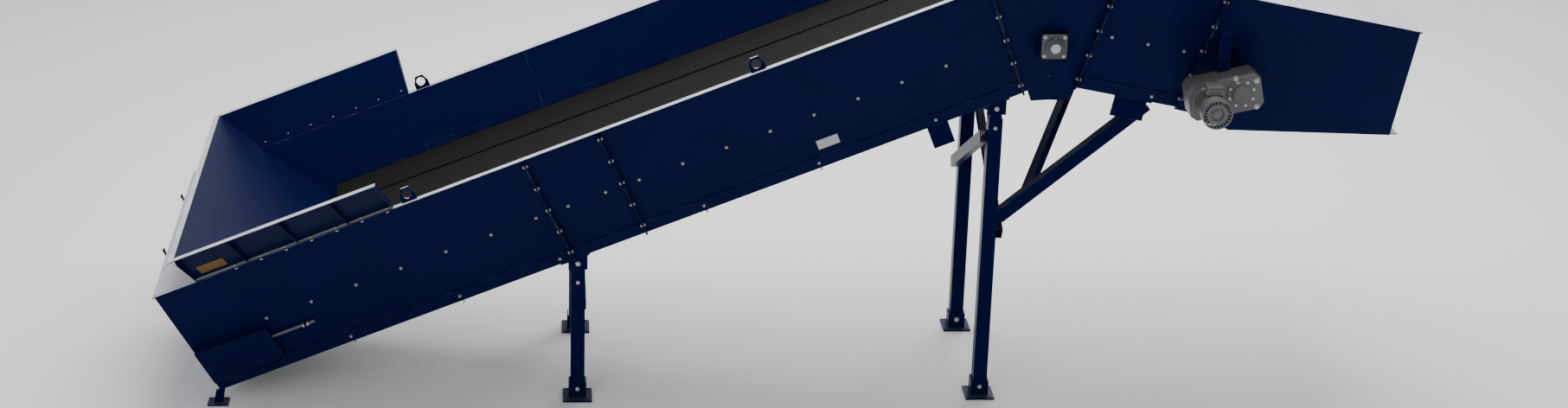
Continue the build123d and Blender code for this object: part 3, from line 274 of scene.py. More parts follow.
def side_face(face):
    """Whether a face looks sideways."""
    return abs(face.normal.z) < 0.1


def join(name, pieces):
    """Several pieces made one."""
    deselect()
    for piece in pieces:
        piece.select_set(True)
    bpy.context.view_layer.objects.active = pieces[0]
    bpy.ops.object.join()
    pieces[0].name = name
    return pieces[0]


def copies(name, master, places):
    """Copies of a master at several places, as one piece. The master goes."""
    made = []
    for place in places:
        piece = master.copy()
        piece.data = master.data.copy()
        bpy.context.scene.collection.objects.link(piece)
        piece.data.transform(place)
        made.append(piece)
    bpy.data.objects.remove(master)
    return join(name, made)


def smooth(piece, angle=35.0):
    """Smooth shading but for the sharp edges."""
    activate(piece)
    bpy.ops.object.shade_smooth_by_angle(angle=math.radians(angle))
    return piece


def hand_over(piece, body, slot, material, *nodes):
    """Give a piece its finish, its body and the nodes that it stands for."""
    piece.data.materials.clear()
    piece.data.materials.append(material)
    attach(piece, body)
    if nodes:
        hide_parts(*nodes)
    return piece


# ---- shader groups ----

def new_group(name, inputs, outputs):
    """An empty node group with named float or colour sockets."""
    tree = bpy.data.node_groups.new(name, "ShaderNodeTree")
    for socket, kind, value in inputs:
        item = tree.interface.new_socket(name=socket, in_out="INPUT", socket_type=kind)
        item.default_value = value
    for socket, kind in outputs:
        tree.interface.new_socket(name=socket, in_out="OUTPUT", socket_type=kind)
    start = tree.nodes.new("NodeGroupInput")
    end = tree.nodes.new("NodeGroupOutput")
    return tree, start, end


def add_node(tree, kind, **values):
    """A node with its settings."""
    node = tree.nodes.new(kind)
    for key, value in values.items():
        if key in node.inputs:
            node.inputs[key].default_value = value
        else:
            setattr(node, key, value)
    return node


def ramp_between(tree, source, low, high):
    """A value brought from low..high to 0..1, and held there."""
    node = add_node(tree, "ShaderNodeMapRange", clamp=True, interpolation_type="SMOOTHSTEP")
    tree.links.new(source, node.inputs["Value"])
    node.inputs["From Min"].default_value = low
    node.inputs["From Max"].default_value = high
    return node.outputs["Result"]


def multiply(tree, first, second):
    """The product of two sockets, or of a socket and a number."""
    node = add_node(tree, "ShaderNodeMath", operation="MULTIPLY")
    for socket, value in zip(node.inputs, (first, second)):
        if isinstance(value, (int, float)):
            socket.default_value = value
        else:
            tree.links.new(value, socket)
    return node.outputs[0]


def noise(tree, scale, detail=4.0, roughness=0.55, vector=None):
    """A noise value in object space."""
    node = add_node(tree, "ShaderNodeTexNoise", Scale=scale, Detail=detail, Roughness=roughness)
    tree.links.new(vector or object_space(tree), node.inputs["Vector"])
    return node.outputs["Fac"]


def wear_group():
    """Mask of the worn edges: where a rounded normal leaves the true one, broken up by noise."""
    tree, start, end = new_group(
        "EdgeWear", [("Radius", "NodeSocketFloat", 0.003), ("Amount", "NodeSocketFloat", 1.0)],
        [("Mask", "NodeSocketFloat")])
    bevel = add_node(tree, "ShaderNodeBevel", samples=4)
    tree.links.new(start.outputs["Radius"], bevel.inputs["Radius"])
    true = tree.nodes.new("ShaderNodeNewGeometry")
    dot = add_node(tree, "ShaderNodeVectorMath", operation="DOT_PRODUCT")
    tree.links.new(bevel.outputs["Normal"], dot.inputs[0])
    tree.links.new(true.outputs["Normal"], dot.inputs[1])
    edge = ramp_between(tree, dot.outputs["Value"], 0.97, 0.80)
    patches = ramp_between(tree, noise(tree, 9.0, 6.0, 0.7), 0.46, 0.62)
    worn = multiply(tree, edge, patches)
    tree.links.new(multiply(tree, worn, start.outputs["Amount"]), end.inputs["Mask"])
    return tree


def dust_and_sheen_group():
    """Mask of the faces that look up, broken up by cloudy patches: settled dirt on the bed sheet, belt and
    castings, and a painted sheen on the navy paint, where it stands in for the sky's reflection.
    """
    tree, start, end = new_group(
        "UpwardDustAndSheen",
        [("Low", "NodeSocketFloat", 0.900), ("High", "NodeSocketFloat", 0.922),
         ("Amount", "NodeSocketFloat", 1.0)],
        [("Mask", "NodeSocketFloat")])
    normal = tree.nodes.new("ShaderNodeNewGeometry")
    split = tree.nodes.new("ShaderNodeSeparateXYZ")
    tree.links.new(normal.outputs["Normal"], split.inputs[0])
    facing = add_node(tree, "ShaderNodeMapRange", clamp=True)
    tree.links.new(split.outputs["Z"], facing.inputs["Value"])
    tree.links.new(start.outputs["Low"], facing.inputs["From Min"])
    tree.links.new(start.outputs["High"], facing.inputs["From Max"])
    cloud = add_node(tree, "ShaderNodeMapRange", clamp=True)
    tree.links.new(noise(tree, 5.0, 7.0, 0.65), cloud.inputs["Value"])
    cloud.inputs["From Min"].default_value = 0.25
    cloud.inputs["From Max"].default_value = 0.6
    cloud.inputs["To Min"].default_value = 0.72
    dust_and_sheen_mask = multiply(tree, facing.outputs["Result"], cloud.outputs["Result"])
    tree.links.new(multiply(tree, dust_and_sheen_mask, start.outputs["Amount"]), end.inputs["Mask"])
    return tree


def grain_group():
    """Paint skin: a fine ripple, cloudy tone and rain streaks down the surface."""
    tree, start, end = new_group(
        "PaintSkin", [("Fine", "NodeSocketFloat", 220.0), ("Strength", "NodeSocketFloat", 1.0)],
        [("Height", "NodeSocketFloat"), ("Tone", "NodeSocketFloat"), ("Streaks", "NodeSocketFloat")])
    where = object_space(tree)
    fine = add_node(tree, "ShaderNodeTexNoise", Detail=2.0)
    tree.links.new(where, fine.inputs["Vector"])
    tree.links.new(start.outputs["Fine"], fine.inputs["Scale"])
    tree.links.new(multiply(tree, fine.outputs["Fac"], start.outputs["Strength"]), end.inputs["Height"])
    tree.links.new(noise(tree, 2.2, 5.0, 0.6, where), end.inputs["Tone"])
    runs = stretched(tree, where, (26.0, 26.0, 1.1))
    tree.links.new(ramp_between(tree, noise(tree, 1.0, 4.0, 0.6, runs), 0.56, 0.74), end.inputs["Streaks"])
    return tree


def place_group(material, tree, **values):
    """A group node in a material, with its own values."""
    node = material.node_tree.nodes.new("ShaderNodeGroup")
    node.node_tree = tree
    for key, value in values.items():
        node.inputs[key].default_value = value
    return node


def mix_colour(tree, mask, first, second):
    """A colour between two, by a mask. Each may be a socket or a colour."""
    node = add_node(tree, "ShaderNodeMix", data_type="RGBA")
    tree.links.new(mask, node.inputs["Factor"])
    for key, value in (("A", first), ("B", second)):
        target = [item for item in node.inputs if item.name == key and item.type == "RGBA"][0]
        if isinstance(value, (tuple, list)):
            target.default_value = (*value[:3], 1.0)
        else:
            tree.links.new(value, target)
    return [item for item in node.outputs if item.type == "RGBA"][0]


def mix_value(tree, mask, first, second):
    """A number between two, by a mask."""
    node = add_node(tree, "ShaderNodeMapRange", clamp=True)
    tree.links.new(mask, node.inputs["Value"])
    for key, value in (("To Min", first), ("To Max", second)):
        if isinstance(value, (int, float)):
            node.inputs[key].default_value = value
        else:
            tree.links.new(value, node.inputs[key])
    return node.outputs["Result"]


def bump(tree, height, distance, strength=1.0):
    """A normal from a height."""
    node = add_node(tree, "ShaderNodeBump", Distance=distance, Strength=strength)
    tree.links.new(height, node.inputs["Height"])
    return node.outputs["Normal"]


def object_space(tree):
    """The object's own coordinates."""
    return tree.nodes.new("ShaderNodeTexCoord").outputs["Object"]


def stretched(tree, source, scale):
    """Coordinates squeezed or stretched along each axis."""
    node = add_node(tree, "ShaderNodeMapping", vector_type="POINT")
    node.inputs["Scale"].default_value = scale
    tree.links.new(source, node.inputs["Vector"])
    return node.outputs["Vector"]


def scaled(colour, share):
    """A colour made lighter or darker."""
    return tuple(min(1.0, channel * share) for channel in colour)


def base_material(name, **values):
    """A material with one Principled shader, its plain values on its own sockets."""
    material = bpy.data.materials.new(name)
    material.use_nodes = True
    shader = material.node_tree.nodes["Principled BSDF"]
    for key, value in values.items():
        shader.inputs[key.replace("_", " ")].default_value = value
    return material, material.node_tree, shader


def feed(tree, shader, colour, roughness, normal):
    """Link a colour, a roughness and a normal to the shader."""
    for key, value in (("Base Color", colour), ("Roughness", roughness), ("Normal", normal)):
        tree.links.new(value, shader.inputs[key])


# ---- finishes ----

EDGE_STEEL = (0.22, 0.235, 0.27)
CASTING_EDGE = (0.24, 0.24, 0.24)
CASTING_DUST = (0.23, 0.225, 0.21)
SHEET_DUST = (0.2, 0.17, 0.13)
BELT_DUST = (0.075, 0.068, 0.058)


def painted(name, colour, sheen_amount, groups, roughness=0.33, worn=0.5):
    """Sprayed paint on steel: a rippled skin, streaks, worn edges, and a light grey painted sheen on faces
    that look up, standing in for the sky's reflection on the gloss.
    """
    material, tree, shader = base_material(
        name, IOR=1.22, Specular_IOR_Level=0.5, Specular_Tint=(0.05, 0.13, 1.0, 1.0))
    skin = place_group(material, groups["skin"])
    wear = place_group(material, groups["wear"], Radius=0.003, Amount=worn)
    # Painted sheen: faces that look up turn light grey and rougher, standing in for the sky's reflection on
    # the glossy paint.
    dust_and_sheen_mask = place_group(material, groups["dust_and_sheen"], Amount=sheen_amount)
    tone = mix_colour(tree, skin.outputs["Tone"], scaled(colour, 0.78), scaled(colour, 1.25))
    streaked = mix_colour(tree, multiply(tree, skin.outputs["Streaks"], 0.2), tone, scaled(colour, 1.8))
    edged = mix_colour(tree, wear.outputs["Mask"], streaked, EDGE_STEEL)
    with_painted_sheen = mix_colour(tree, dust_and_sheen_mask.outputs["Mask"], edged, tuple(finish().pale))
    rough = mix_value(tree, skin.outputs["Tone"], roughness - 0.06, roughness + 0.12)
    feed(tree, shader, with_painted_sheen, mix_value(tree, dust_and_sheen_mask.outputs["Mask"], rough, 0.55),
         bump(tree, skin.outputs["Height"], 0.0006, 0.35))
    return material


def plated(name, colour, groups, roughness=0.32, scale=60.0):
    """Plated or bare steel with a mottled surface and dull patches."""
    material, tree, shader = base_material(name, Metallic=0.9)
    skin = place_group(material, groups["skin"], Fine=400.0)
    mottle = noise(tree, scale, 5.0, 0.6)
    feed(tree, shader, mix_colour(tree, mottle, scaled(colour, 0.62), scaled(colour, 1.15)),
         mix_value(tree, mottle, roughness, roughness + 0.22),
         bump(tree, skin.outputs["Height"], 0.0004, 0.3))
    return material


def turned(name, colour, groups, rings=900.0):
    """Machined steel with fine rings across its length."""
    material, tree, shader = base_material(name, Metallic=1.0)
    where = object_space(tree)
    wave = add_node(tree, "ShaderNodeTexWave", bands_direction="Y", Scale=rings, Distortion=1.5, Detail=2.0)
    tree.links.new(where, wave.inputs["Vector"])
    skin = place_group(material, groups["skin"])
    feed(tree, shader, mix_colour(tree, skin.outputs["Tone"], scaled(colour, 0.7), scaled(colour, 1.1)),
         mix_value(tree, wave.outputs["Fac"], 0.26, 0.42), bump(tree, wave.outputs["Fac"], 0.0002, 0.2))
    return material


def rolled_sheet(name, colour, groups):
    """Bright slider-bed sheet, polished along its length by the belt."""
    material, tree, shader = base_material(name, Metallic=0.95)
    lines = noise(tree, 3.0, 6.0, 0.6, stretched(tree, object_space(tree), (0.6, 90.0, 0.6)))
    dust_and_sheen_mask = place_group(material, groups["dust_and_sheen"], Low=-1.0, High=0.2, Amount=0.35)
    bright = mix_colour(tree, lines, scaled(colour, 0.6), scaled(colour, 1.1))
    feed(tree, shader, mix_colour(tree, dust_and_sheen_mask.outputs["Mask"], bright, SHEET_DUST),
         mix_value(tree, lines, 0.3, 0.5), bump(tree, lines, 0.0003, 0.25))
    return material


def belt_rubber(name, colour, groups, weave=420.0, film_amount=0.05):
    """Rubber with the print of its cover cloth, scuffs along its travel and a little settled dirt."""
    material, tree, shader = base_material(name, Specular_IOR_Level=0.12)
    where = object_space(tree)
    cross = []
    for direction in ("X", "Y"):
        wave = add_node(tree, "ShaderNodeTexWave", bands_direction=direction, Scale=weave, Distortion=0.4)
        tree.links.new(where, wave.inputs["Vector"])
        cross.append(wave.outputs["Fac"])
    cloth = multiply(tree, cross[0], cross[1])
    lengthwise = stretched(tree, where, (0.5, 22.0, 0.5))
    scuff = ramp_between(tree, noise(tree, 2.4, 6.0, 0.65, lengthwise), 0.52, 0.78)
    dust_and_sheen_mask = place_group(material, groups["dust_and_sheen"], Low=0.2, High=0.95, Amount=film_amount)
    scuffed = mix_colour(tree, multiply(tree, scuff, 0.5), tuple(colour), scaled(colour, 4.0))
    feed(tree, shader, mix_colour(tree, dust_and_sheen_mask.outputs["Mask"], scuffed, BELT_DUST),
         mix_value(tree, scuff, 0.72, 0.5), bump(tree, cloth, 0.0006, 0.4))
    return material


def cast(name, colour, groups):
    """Enamelled casting: a coarse sand skin under satin paint, chipped on its edges."""
    material, tree, shader = base_material(name, Coat_Weight=0.15, Coat_Roughness=0.3)
    wear = place_group(material, groups["wear"], Radius=0.002, Amount=0.6)
    dust_and_sheen_mask = place_group(material, groups["dust_and_sheen"], Low=0.3, High=0.98, Amount=0.35)
    skin = place_group(material, groups["skin"], Fine=140.0)
    tone = mix_colour(tree, skin.outputs["Tone"], scaled(colour, 0.75), scaled(colour, 1.3))
    edged = mix_colour(tree, wear.outputs["Mask"], tone, CASTING_EDGE)
    feed(tree, shader, mix_colour(tree, dust_and_sheen_mask.outputs["Mask"], edged, CASTING_DUST),
         mix_value(tree, skin.outputs["Tone"], 0.38, 0.58), bump(tree, skin.outputs["Height"], 0.0012, 0.5))
    return material


def moulded(name, colour, groups, roughness=0.5):
    """Plain moulded rubber or plastic, faintly grained."""
    material, tree, shader = base_material(name)
    skin = place_group(material, groups["skin"], Fine=500.0)
    tone = skin.outputs["Tone"]
    feed(tree, shader, mix_colour(tree, tone, scaled(colour, 0.8), scaled(colour, 1.3)),
         mix_value(tree, tone, roughness - 0.08, roughness + 0.1),
         bump(tree, skin.outputs["Height"], 0.0004, 0.4))
    return material


FINISHES = {}


def keep(recipe, name, *values, **settings):
    """Make a finish and keep it under its name."""
    FINISHES[name] = recipe(name, *values, **settings)


def finish_named(name):
    """A finish by its name, all of them made on the first call."""
    if not FINISHES:
        colours = finish()
        groups = {"wear": wear_group(), "dust_and_sheen": dust_and_sheen_group(), "skin": grain_group()}
        navy, pale, rubber = tuple(colours.navy), tuple(colours.pale), tuple(colours.rubber)
        # Panels take the full painted sheen on faces that look up, the frame only a trace of it.
        keep(painted, "navy_panel", navy, 1.0, groups)
        keep(painted, "navy_frame", navy, 0.05, groups, roughness=0.36, worn=0.7)
        # The tail deck is painted light grey all over: a painted reflection of the sky on its navy paint.
        keep(painted, "pale_deck", pale, 1.0, groups, roughness=0.42)
        keep(plated, "zinc_plate", tuple(colours.zinc), groups)
        keep(rolled_sheet, "bare_sheet", (0.5, 0.5, 0.5), groups)
        keep(turned, "turned_steel", (0.5, 0.5, 0.5), groups)
        keep(plated, "mill_steel", (0.3, 0.3, 0.31), groups, roughness=0.4, scale=12.0)
        keep(belt_rubber, "belt_rubber", rubber, groups)
        keep(belt_rubber, "skirt_rubber", rubber, groups, 300.0, 0.03)
        keep(moulded, "latch_rubber", (0.012, 0.012, 0.012), groups)
        keep(cast, "drive_enamel", tuple(colours.drive), groups)
        keep(cast, "bearing_iron", (0.05, 0.055, 0.062), groups)
        keep(moulded, "scraper_plastic", (0.45, 0.09, 0.015), groups)
        keep(moulded, "safety_patch", tuple(colours.patch), groups, 0.4)
        keep(plated, "plain_plate", (0.55, 0.56, 0.57), groups, roughness=0.25)
    return FINISHES[name]


ROLLERS = range(1, 8)
NODE_FINISH = {
    "navy_panel": ("tail_walls", "upper_walls", "knee_walls", "head_walls", "drive_walls", "hood_front",
                   "hood_cover", "hopper_panels", "hopper_back_chute", "hopper_ribs", "tail_end_plate",
                   "tail_door", "lifting_lugs", "take_up_guards"),
    "navy_frame": ("tail_legs", "head_legs", "leg_extensions", "leg_saddles", "leg_braces", "knee_braces",
                   "floor_feet", "cross_members", "skirt_steelwork", "take_up_frames", "torque_arm",
                   "bearing_pads"),
    # tail deck: light grey painted reflection of the sky over its navy paint
    "pale_deck": ("tail_deck",),
    "zinc_plate": ("panel_bolts", "joint_bolts", "leg_bolts", "take_up_nuts", "door_hinge_pins",
                   *(f"return_roller_{i}" for i in ROLLERS), "knee_return_roller", "roller_hangers"),
    "bare_sheet": ("slider_bed_rising", "slider_bed_head"),
    "turned_steel": ("tail_shaft", "knee_shaft", "head_shaft", "motor_rotor"),
    "mill_steel": ("tail_pulley", "knee_pulley", "head_pulley"),
    "bearing_iron": ("shaft_bearings", "take_up_blocks"),
    "belt_rubber": ("belt",),
    "skirt_rubber": ("skirt_rubber",),
    "latch_rubber": ("latch_near", "latch_far"),
    "drive_enamel": ("gear_case", "motor_housing", "fan_cowl"),
    "scraper_plastic": ("belt_scraper",),
}


def hand_over_plated(piece, *nodes):
    """Hand over a smooth zinc-plated piece of the frame."""
    hand_over(smooth(piece), "frame", "zinc", finish_named("zinc_plate"), *nodes)


# ---- operators ----

class PieceOperator(bpy.types.Operator):
    """Shared base of the operators that make pieces."""

    bl_options = {"REGISTER", "UNDO"}

    def execute(self, context):
        self.make()
        return {"FINISHED"}


CAMERA_ALONG, CAMERA_BACK, CAMERA_UP = 2.0826, 16.7765, 7.9452
CAMERA_TURNS = (5.30, 21.245, 1.902)
CAMERA_LENS = 64.35
FLOOR_SIZE, FLOOR_DROP = 120, 0.0015
SKY_COLOUR, SKY_STRENGTH = (0.93, 0.95, 1.0, 1.0), 0.75
LAMPS = (  # name, place, what it looks at, size, power
    ("overhead", (0.5, 2.0, 9.0), (0.3, 0.0, 1.0), 9.0, 1250),
    ("front_fill", (-6.0, -11.0, 5.0), (0.0, 0.0, 1.4), 6.0, 350),
    ("rear_rim", (5.0, 9.0, 7.0), (0.5, 0.0, 1.5), 5.0, 380),
)


class CONVEYOR_OT_stage(PieceOperator):
    """Pale floor, soft lights and the camera"""

    bl_idname = "conveyor.stage"
    bl_label = "Stage, lights and camera"

    def make(self):
        deselect()
        bpy.ops.mesh.primitive_plane_add(size=FLOOR_SIZE, location=(0, 0, -FLOOR_DROP))
        floor = named("floor")
        material, tree, shader = base_material("studio_floor", Roughness=0.9)
        shader.inputs["Specular IOR Level"].default_value = 0.1
        tree.links.new(mix_colour(tree, noise(tree, 0.7, 3.0), (0.80, 0.80, 0.80), (0.84, 0.84, 0.84)),
                       shader.inputs["Base Color"])
        floor.data.materials.append(material)
        world = bpy.data.worlds.new("studio")
        bpy.context.scene.world = world
        world.use_nodes = True
        background = world.node_tree.nodes["Background"]
        background.inputs["Color"].default_value = SKY_COLOUR
        background.inputs["Strength"].default_value = SKY_STRENGTH
        for settings in LAMPS:
            self.lamp(*settings)
        self.camera()

    def lamp(self, name, place, target, size, power):
        """A soft square lamp that looks at a point."""
        deselect()
        bpy.ops.object.light_add(type="AREA", location=place)
        lamp = bpy.context.active_object
        lamp.name = name
        lamp.data.size = size
        lamp.data.energy = power
        lamp.rotation_euler = (Vector(target) - Vector(place)).to_track_quat("-Z", "Y").to_euler()

    def camera(self):
        """The camera by heading, tilt and roll, placed in wall heights from the near wall's tail corner."""
        s = sizes()
        heading, tilt, roll = (math.radians(turn) for turn in CAMERA_TURNS)
        ahead = Vector((math.sin(heading), math.cos(heading), 0))
        right = Vector((math.cos(heading), -math.sin(heading), 0))
        up = Vector((0, 0, 1))
        look = ahead * math.cos(tilt) - up * math.sin(tilt)
        lift = up * math.cos(tilt) + ahead * math.sin(tilt)
        side = right * math.cos(roll) + lift * math.sin(roll)
        crown = lift * math.cos(roll) - right * math.sin(roll)
        turn = Matrix((side, crown, -look)).transposed().to_4x4()
        place = Vector((
            origin_x() + CAMERA_ALONG * s.wall, -s.half - CAMERA_BACK * s.wall, CAMERA_UP * s.wall))
        deselect()
        bpy.ops.object.camera_add()
        camera = bpy.context.active_object
        camera.matrix_world = Matrix.Translation(place) @ turn
        camera.data.sensor_width = 36.0
        camera.data.lens = CAMERA_LENS
        camera.data.clip_end = 200.0
        bpy.context.scene.camera = camera


class CONVEYOR_OT_finishes(PieceOperator):
    """Materials of all the nodes that stay as they are"""

    bl_idname = "conveyor.finishes"
    bl_label = "Finishes of the steelwork"

    def make(self):
        for name, members in NODE_FINISH.items():
            for member in members:
                node = NODES[member]
                node.data.materials.clear()
                node.data.materials.append(finish_named(name))
        missing = set(NODES) - {member for members in NODE_FINISH.values() for member in members}
        if missing:
            raise RuntimeError(f"nodes without a finish: {sorted(missing)}")


# shares of a bolt's radius
WASHER_THICK = 0.28
WASHER_EASE = 0.06
CROWN_RISE = 0.14
NUT_DOWN = 1.35
THREAD_DOWN = 1.95


def hex_head(radius, across, high, crown):
    """A washer's thickness above z = 0, a hexagon with a raised crown."""
    head = drum("head", radius * across, radius * high, 6, 0, radius * WASHER_THICK)
    return edit(head, top_face, inset(radius * crown), lift(radius * CROWN_RISE))


def flat_washer(radius, across, low=0.0):
    """A washer with eased rims, standing on z = low."""
    return drum("washer", radius * across, radius * WASHER_THICK, 20, radius * WASHER_EASE, low)


def bolt_piece(name, radius, grip):
    """A bolt along z: washer and head above z = 0, washer, nut and thread end below -grip."""
    washer = flat_washer(radius, 1.75)
    head = hex_head(radius, 1.6, 1.15, 0.22)
    low_washer = flat_washer(radius, 2.1, -grip - radius * WASHER_THICK)
    nut = drum("nut", radius * 1.83, radius * 1.05, 6, radius * 0.12, -grip - radius * NUT_DOWN)
    end = drum("end", radius, radius * 0.7, 16, radius * 0.2, -grip - radius * THREAD_DOWN)
    return join(name, [washer, head, low_washer, nut, end])


def bolt_head(radius):
    """A washer and a chamfered hex head, standing on z = 0."""
    return join("bolt_head", [flat_washer(radius, 2.0), hex_head(radius, 1.75, 1.1, 0.25)])


STUD_RADIUS, STUD_LONG, STUD_WASHER = 0.005, 0.034, 0.002
THREAD_START, THREAD_PITCH, THREADS = 0.013, 0.0024, 8


def stud_piece(name):
    """A stud along z with a washer and a nut, and threads rolled on its free end."""
    washer = drum("washer", 0.011, STUD_WASHER, 20, 0.0005)
    nut = drum("nut", 0.0095, 0.008, 6, 0.0008, STUD_WASHER)
    shank = drum("shank", STUD_RADIUS, STUD_LONG, 16, 0.001, STUD_WASHER)
    threads = [ring("thread", STUD_RADIUS, 0.0006, THREAD_START + THREAD_PITCH * i, 16, 6)
               for i in range(THREADS)]
    return join(name, [washer, nut, shank] + threads)


STUDS = (0.189, 0.901, 1.631, 3.258, 4.019)
STUD_IN = 0.028
RISING_BED_BOLTS = (
    [0.511 + 0.2965 * i for i in range(7)] + [2.5, 2.745] + [2.965 + 0.2845 * i for i in range(8)])
HEAD_BED_BOLTS = (0.25, 0.48, 0.71)
BED_BOLT_R = 0.454
FOOT_BOLTS = (0.901, 1.631, 2.300, 3.258, 4.019, 4.787)
HEAD_FOOT_BOLT = 0.640
FOOT_BOLT_R = 0.048
JOINTS = (2.385, 2.865, 5.349)
HEAD_JOINTS = (0.152, 0.812)
JOINT_R = [0.090 + 0.206 * i for i in range(5)]
RIB = 0.006
RIB_HOLE = 0.0252
BED_SHEET = 0.0063
FOOT_FLANGE = 0.006
TOP_FLANGE_MIDDLE = 0.032
HOPPER_GAP = 0.0005
HOPPER_BOLTS = [0.540 + 0.163 * i for i in range(7)]


class CONVEYOR_OT_fasteners(PieceOperator):
    """Bolts with washers, nuts and thread ends along the panels and joints"""

    bl_idname = "conveyor.fasteners"
    bl_label = "Panel and joint bolts"

    def make(self):
        s = sizes()
        up, down = rising(), falling()
        bolt = s.bolt
        bed = [(up, x) for x in RISING_BED_BOLTS] + [(down, x) for x in HEAD_BED_BOLTS]
        places = [on_wall(run, x, BED_BOLT_R, s.sheet, side) for run, x in bed for side in SIDES]
        self.row("bed_bolts", bolt_piece("bolt", bolt, s.sheet + BED_SHEET), places, "panel_bolts")
        feet = [(up, x) for x in FOOT_BOLTS] + [(down, HEAD_FOOT_BOLT)]
        grip = s.sheet + FOOT_FLANGE
        places = [on_wall(run, x, FOOT_BOLT_R, grip, side) for run, x in feet for side in SIDES]
        self.row("hanger_bolts", bolt_piece("bolt", bolt, grip), places)
        rise = s.wall * math.cos(s.lean)
        top_y = s.half + s.wall * math.sin(s.lean) + TOP_FLANGE_MIDDLE
        places = [up @ upright(x, side * top_y, rise + s.sheet + HOPPER_GAP)
                  for x in HOPPER_BOLTS for side in SIDES]
        self.row("hopper_foot_bolts", bolt_piece("bolt", bolt, 2 * s.sheet + HOPPER_GAP), places)
        places = [up @ upright(x, side * (s.half - STUD_IN), 0) @ along((0, 0, -1))
                  for x in STUDS for side in SIDES]
        self.row("flange_studs", stud_piece("stud"), places)
        seams = [(up, x) for x in JOINTS] + [(down, x) for x in HEAD_JOINTS]
        turn = Matrix.Rotation(math.radians(90), 4, "Y")
        turns = {-1: turn, 1: turn @ Matrix.Rotation(math.pi, 4, "X")}
        places = [on_wall(run, x + RIB, r, s.sheet + RIB_HOLE, side) @ turns[side]
                  for run, x in seams for r in JOINT_R for side in SIDES]
        self.row("seam_bolts", bolt_piece("bolt", bolt, 2 * RIB), places, "joint_bolts")

    def row(self, name, master, places, *nodes):
        """One plated piece of all the bolts of a kind."""
        hand_over_plated(copies(name, master, places), *nodes)


LEG_PLACES = ("tail_legs", "head_legs")
FOOT_PIVOT_Z = 0.070
PIN_DROP = 0.060
SADDLE_UP = 0.070
CLEVIS_GRIP = 0.0565
SADDLE_OUT, SADDLE_GRIP = 0.050, 0.1005
BEAD_Z, BEAD_LENGTH = 0.0125, 0.094


class CONVEYOR_OT_leg_fittings(PieceOperator):
    """Pivot bolts, height pins and saddle bolts of the legs, and weld beads at their feet"""

    bl_idname = "conveyor.leg_fittings"
    bl_label = "Leg bolts and welds"

    def make(self):
        s = sizes()
        bolts, beads = [], []
        for name in LEG_PLACES:
            low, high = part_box(name)
            x, top, tube = (low.x + high.x) / 2, high.z, high.x - low.x
            rows = ((0.008, FOOT_PIVOT_Z, tube / 2, tube / 2 + CLEVIS_GRIP),
                    (0.007, top - PIN_DROP, tube / 2, tube + 0.0005),
                    (0.009, top + SADDLE_UP, SADDLE_OUT, SADDLE_GRIP))
            for radius, z, out, grip in rows:
                for side in SIDES:
                    bolt = bolt_piece("bolt", radius, grip)
                    bolt.data.transform(upright(x, side * (s.leg_y + out), z) @ along((0, side, 0)))
                    bolts.append(bolt)
            for side in SIDES:
                for edge in SIDES:
                    beads.append(self.bead((x + edge * CLEVIS_GRIP, side * s.leg_y, BEAD_Z)))
        hand_over_plated(join("leg_bolts_detail", bolts), "leg_bolts")
        piece = join("foot_welds", beads)
        hand_over(smooth(piece, 60), "frame", "frame_paint", finish_named("navy_frame"))

    def bead(self, place):
        """A short fillet bead along y."""
        bead = drum("bead", 0.004, BEAD_LENGTH, 10, 0, -BEAD_LENGTH / 2)
        bead.data.transform(Matrix.Translation(place) @ along((0, 1, 0)))
        return bead


BEARING_Y = 0.812
FLANGE_HALF, FLANGE_THICK = 0.082, 0.016
FLANGE_BOLT = 0.060
NIPPLE_SPOT, NIPPLE_WAY = (0, 0.050, 0.030), (0, 0.6, 0.8)


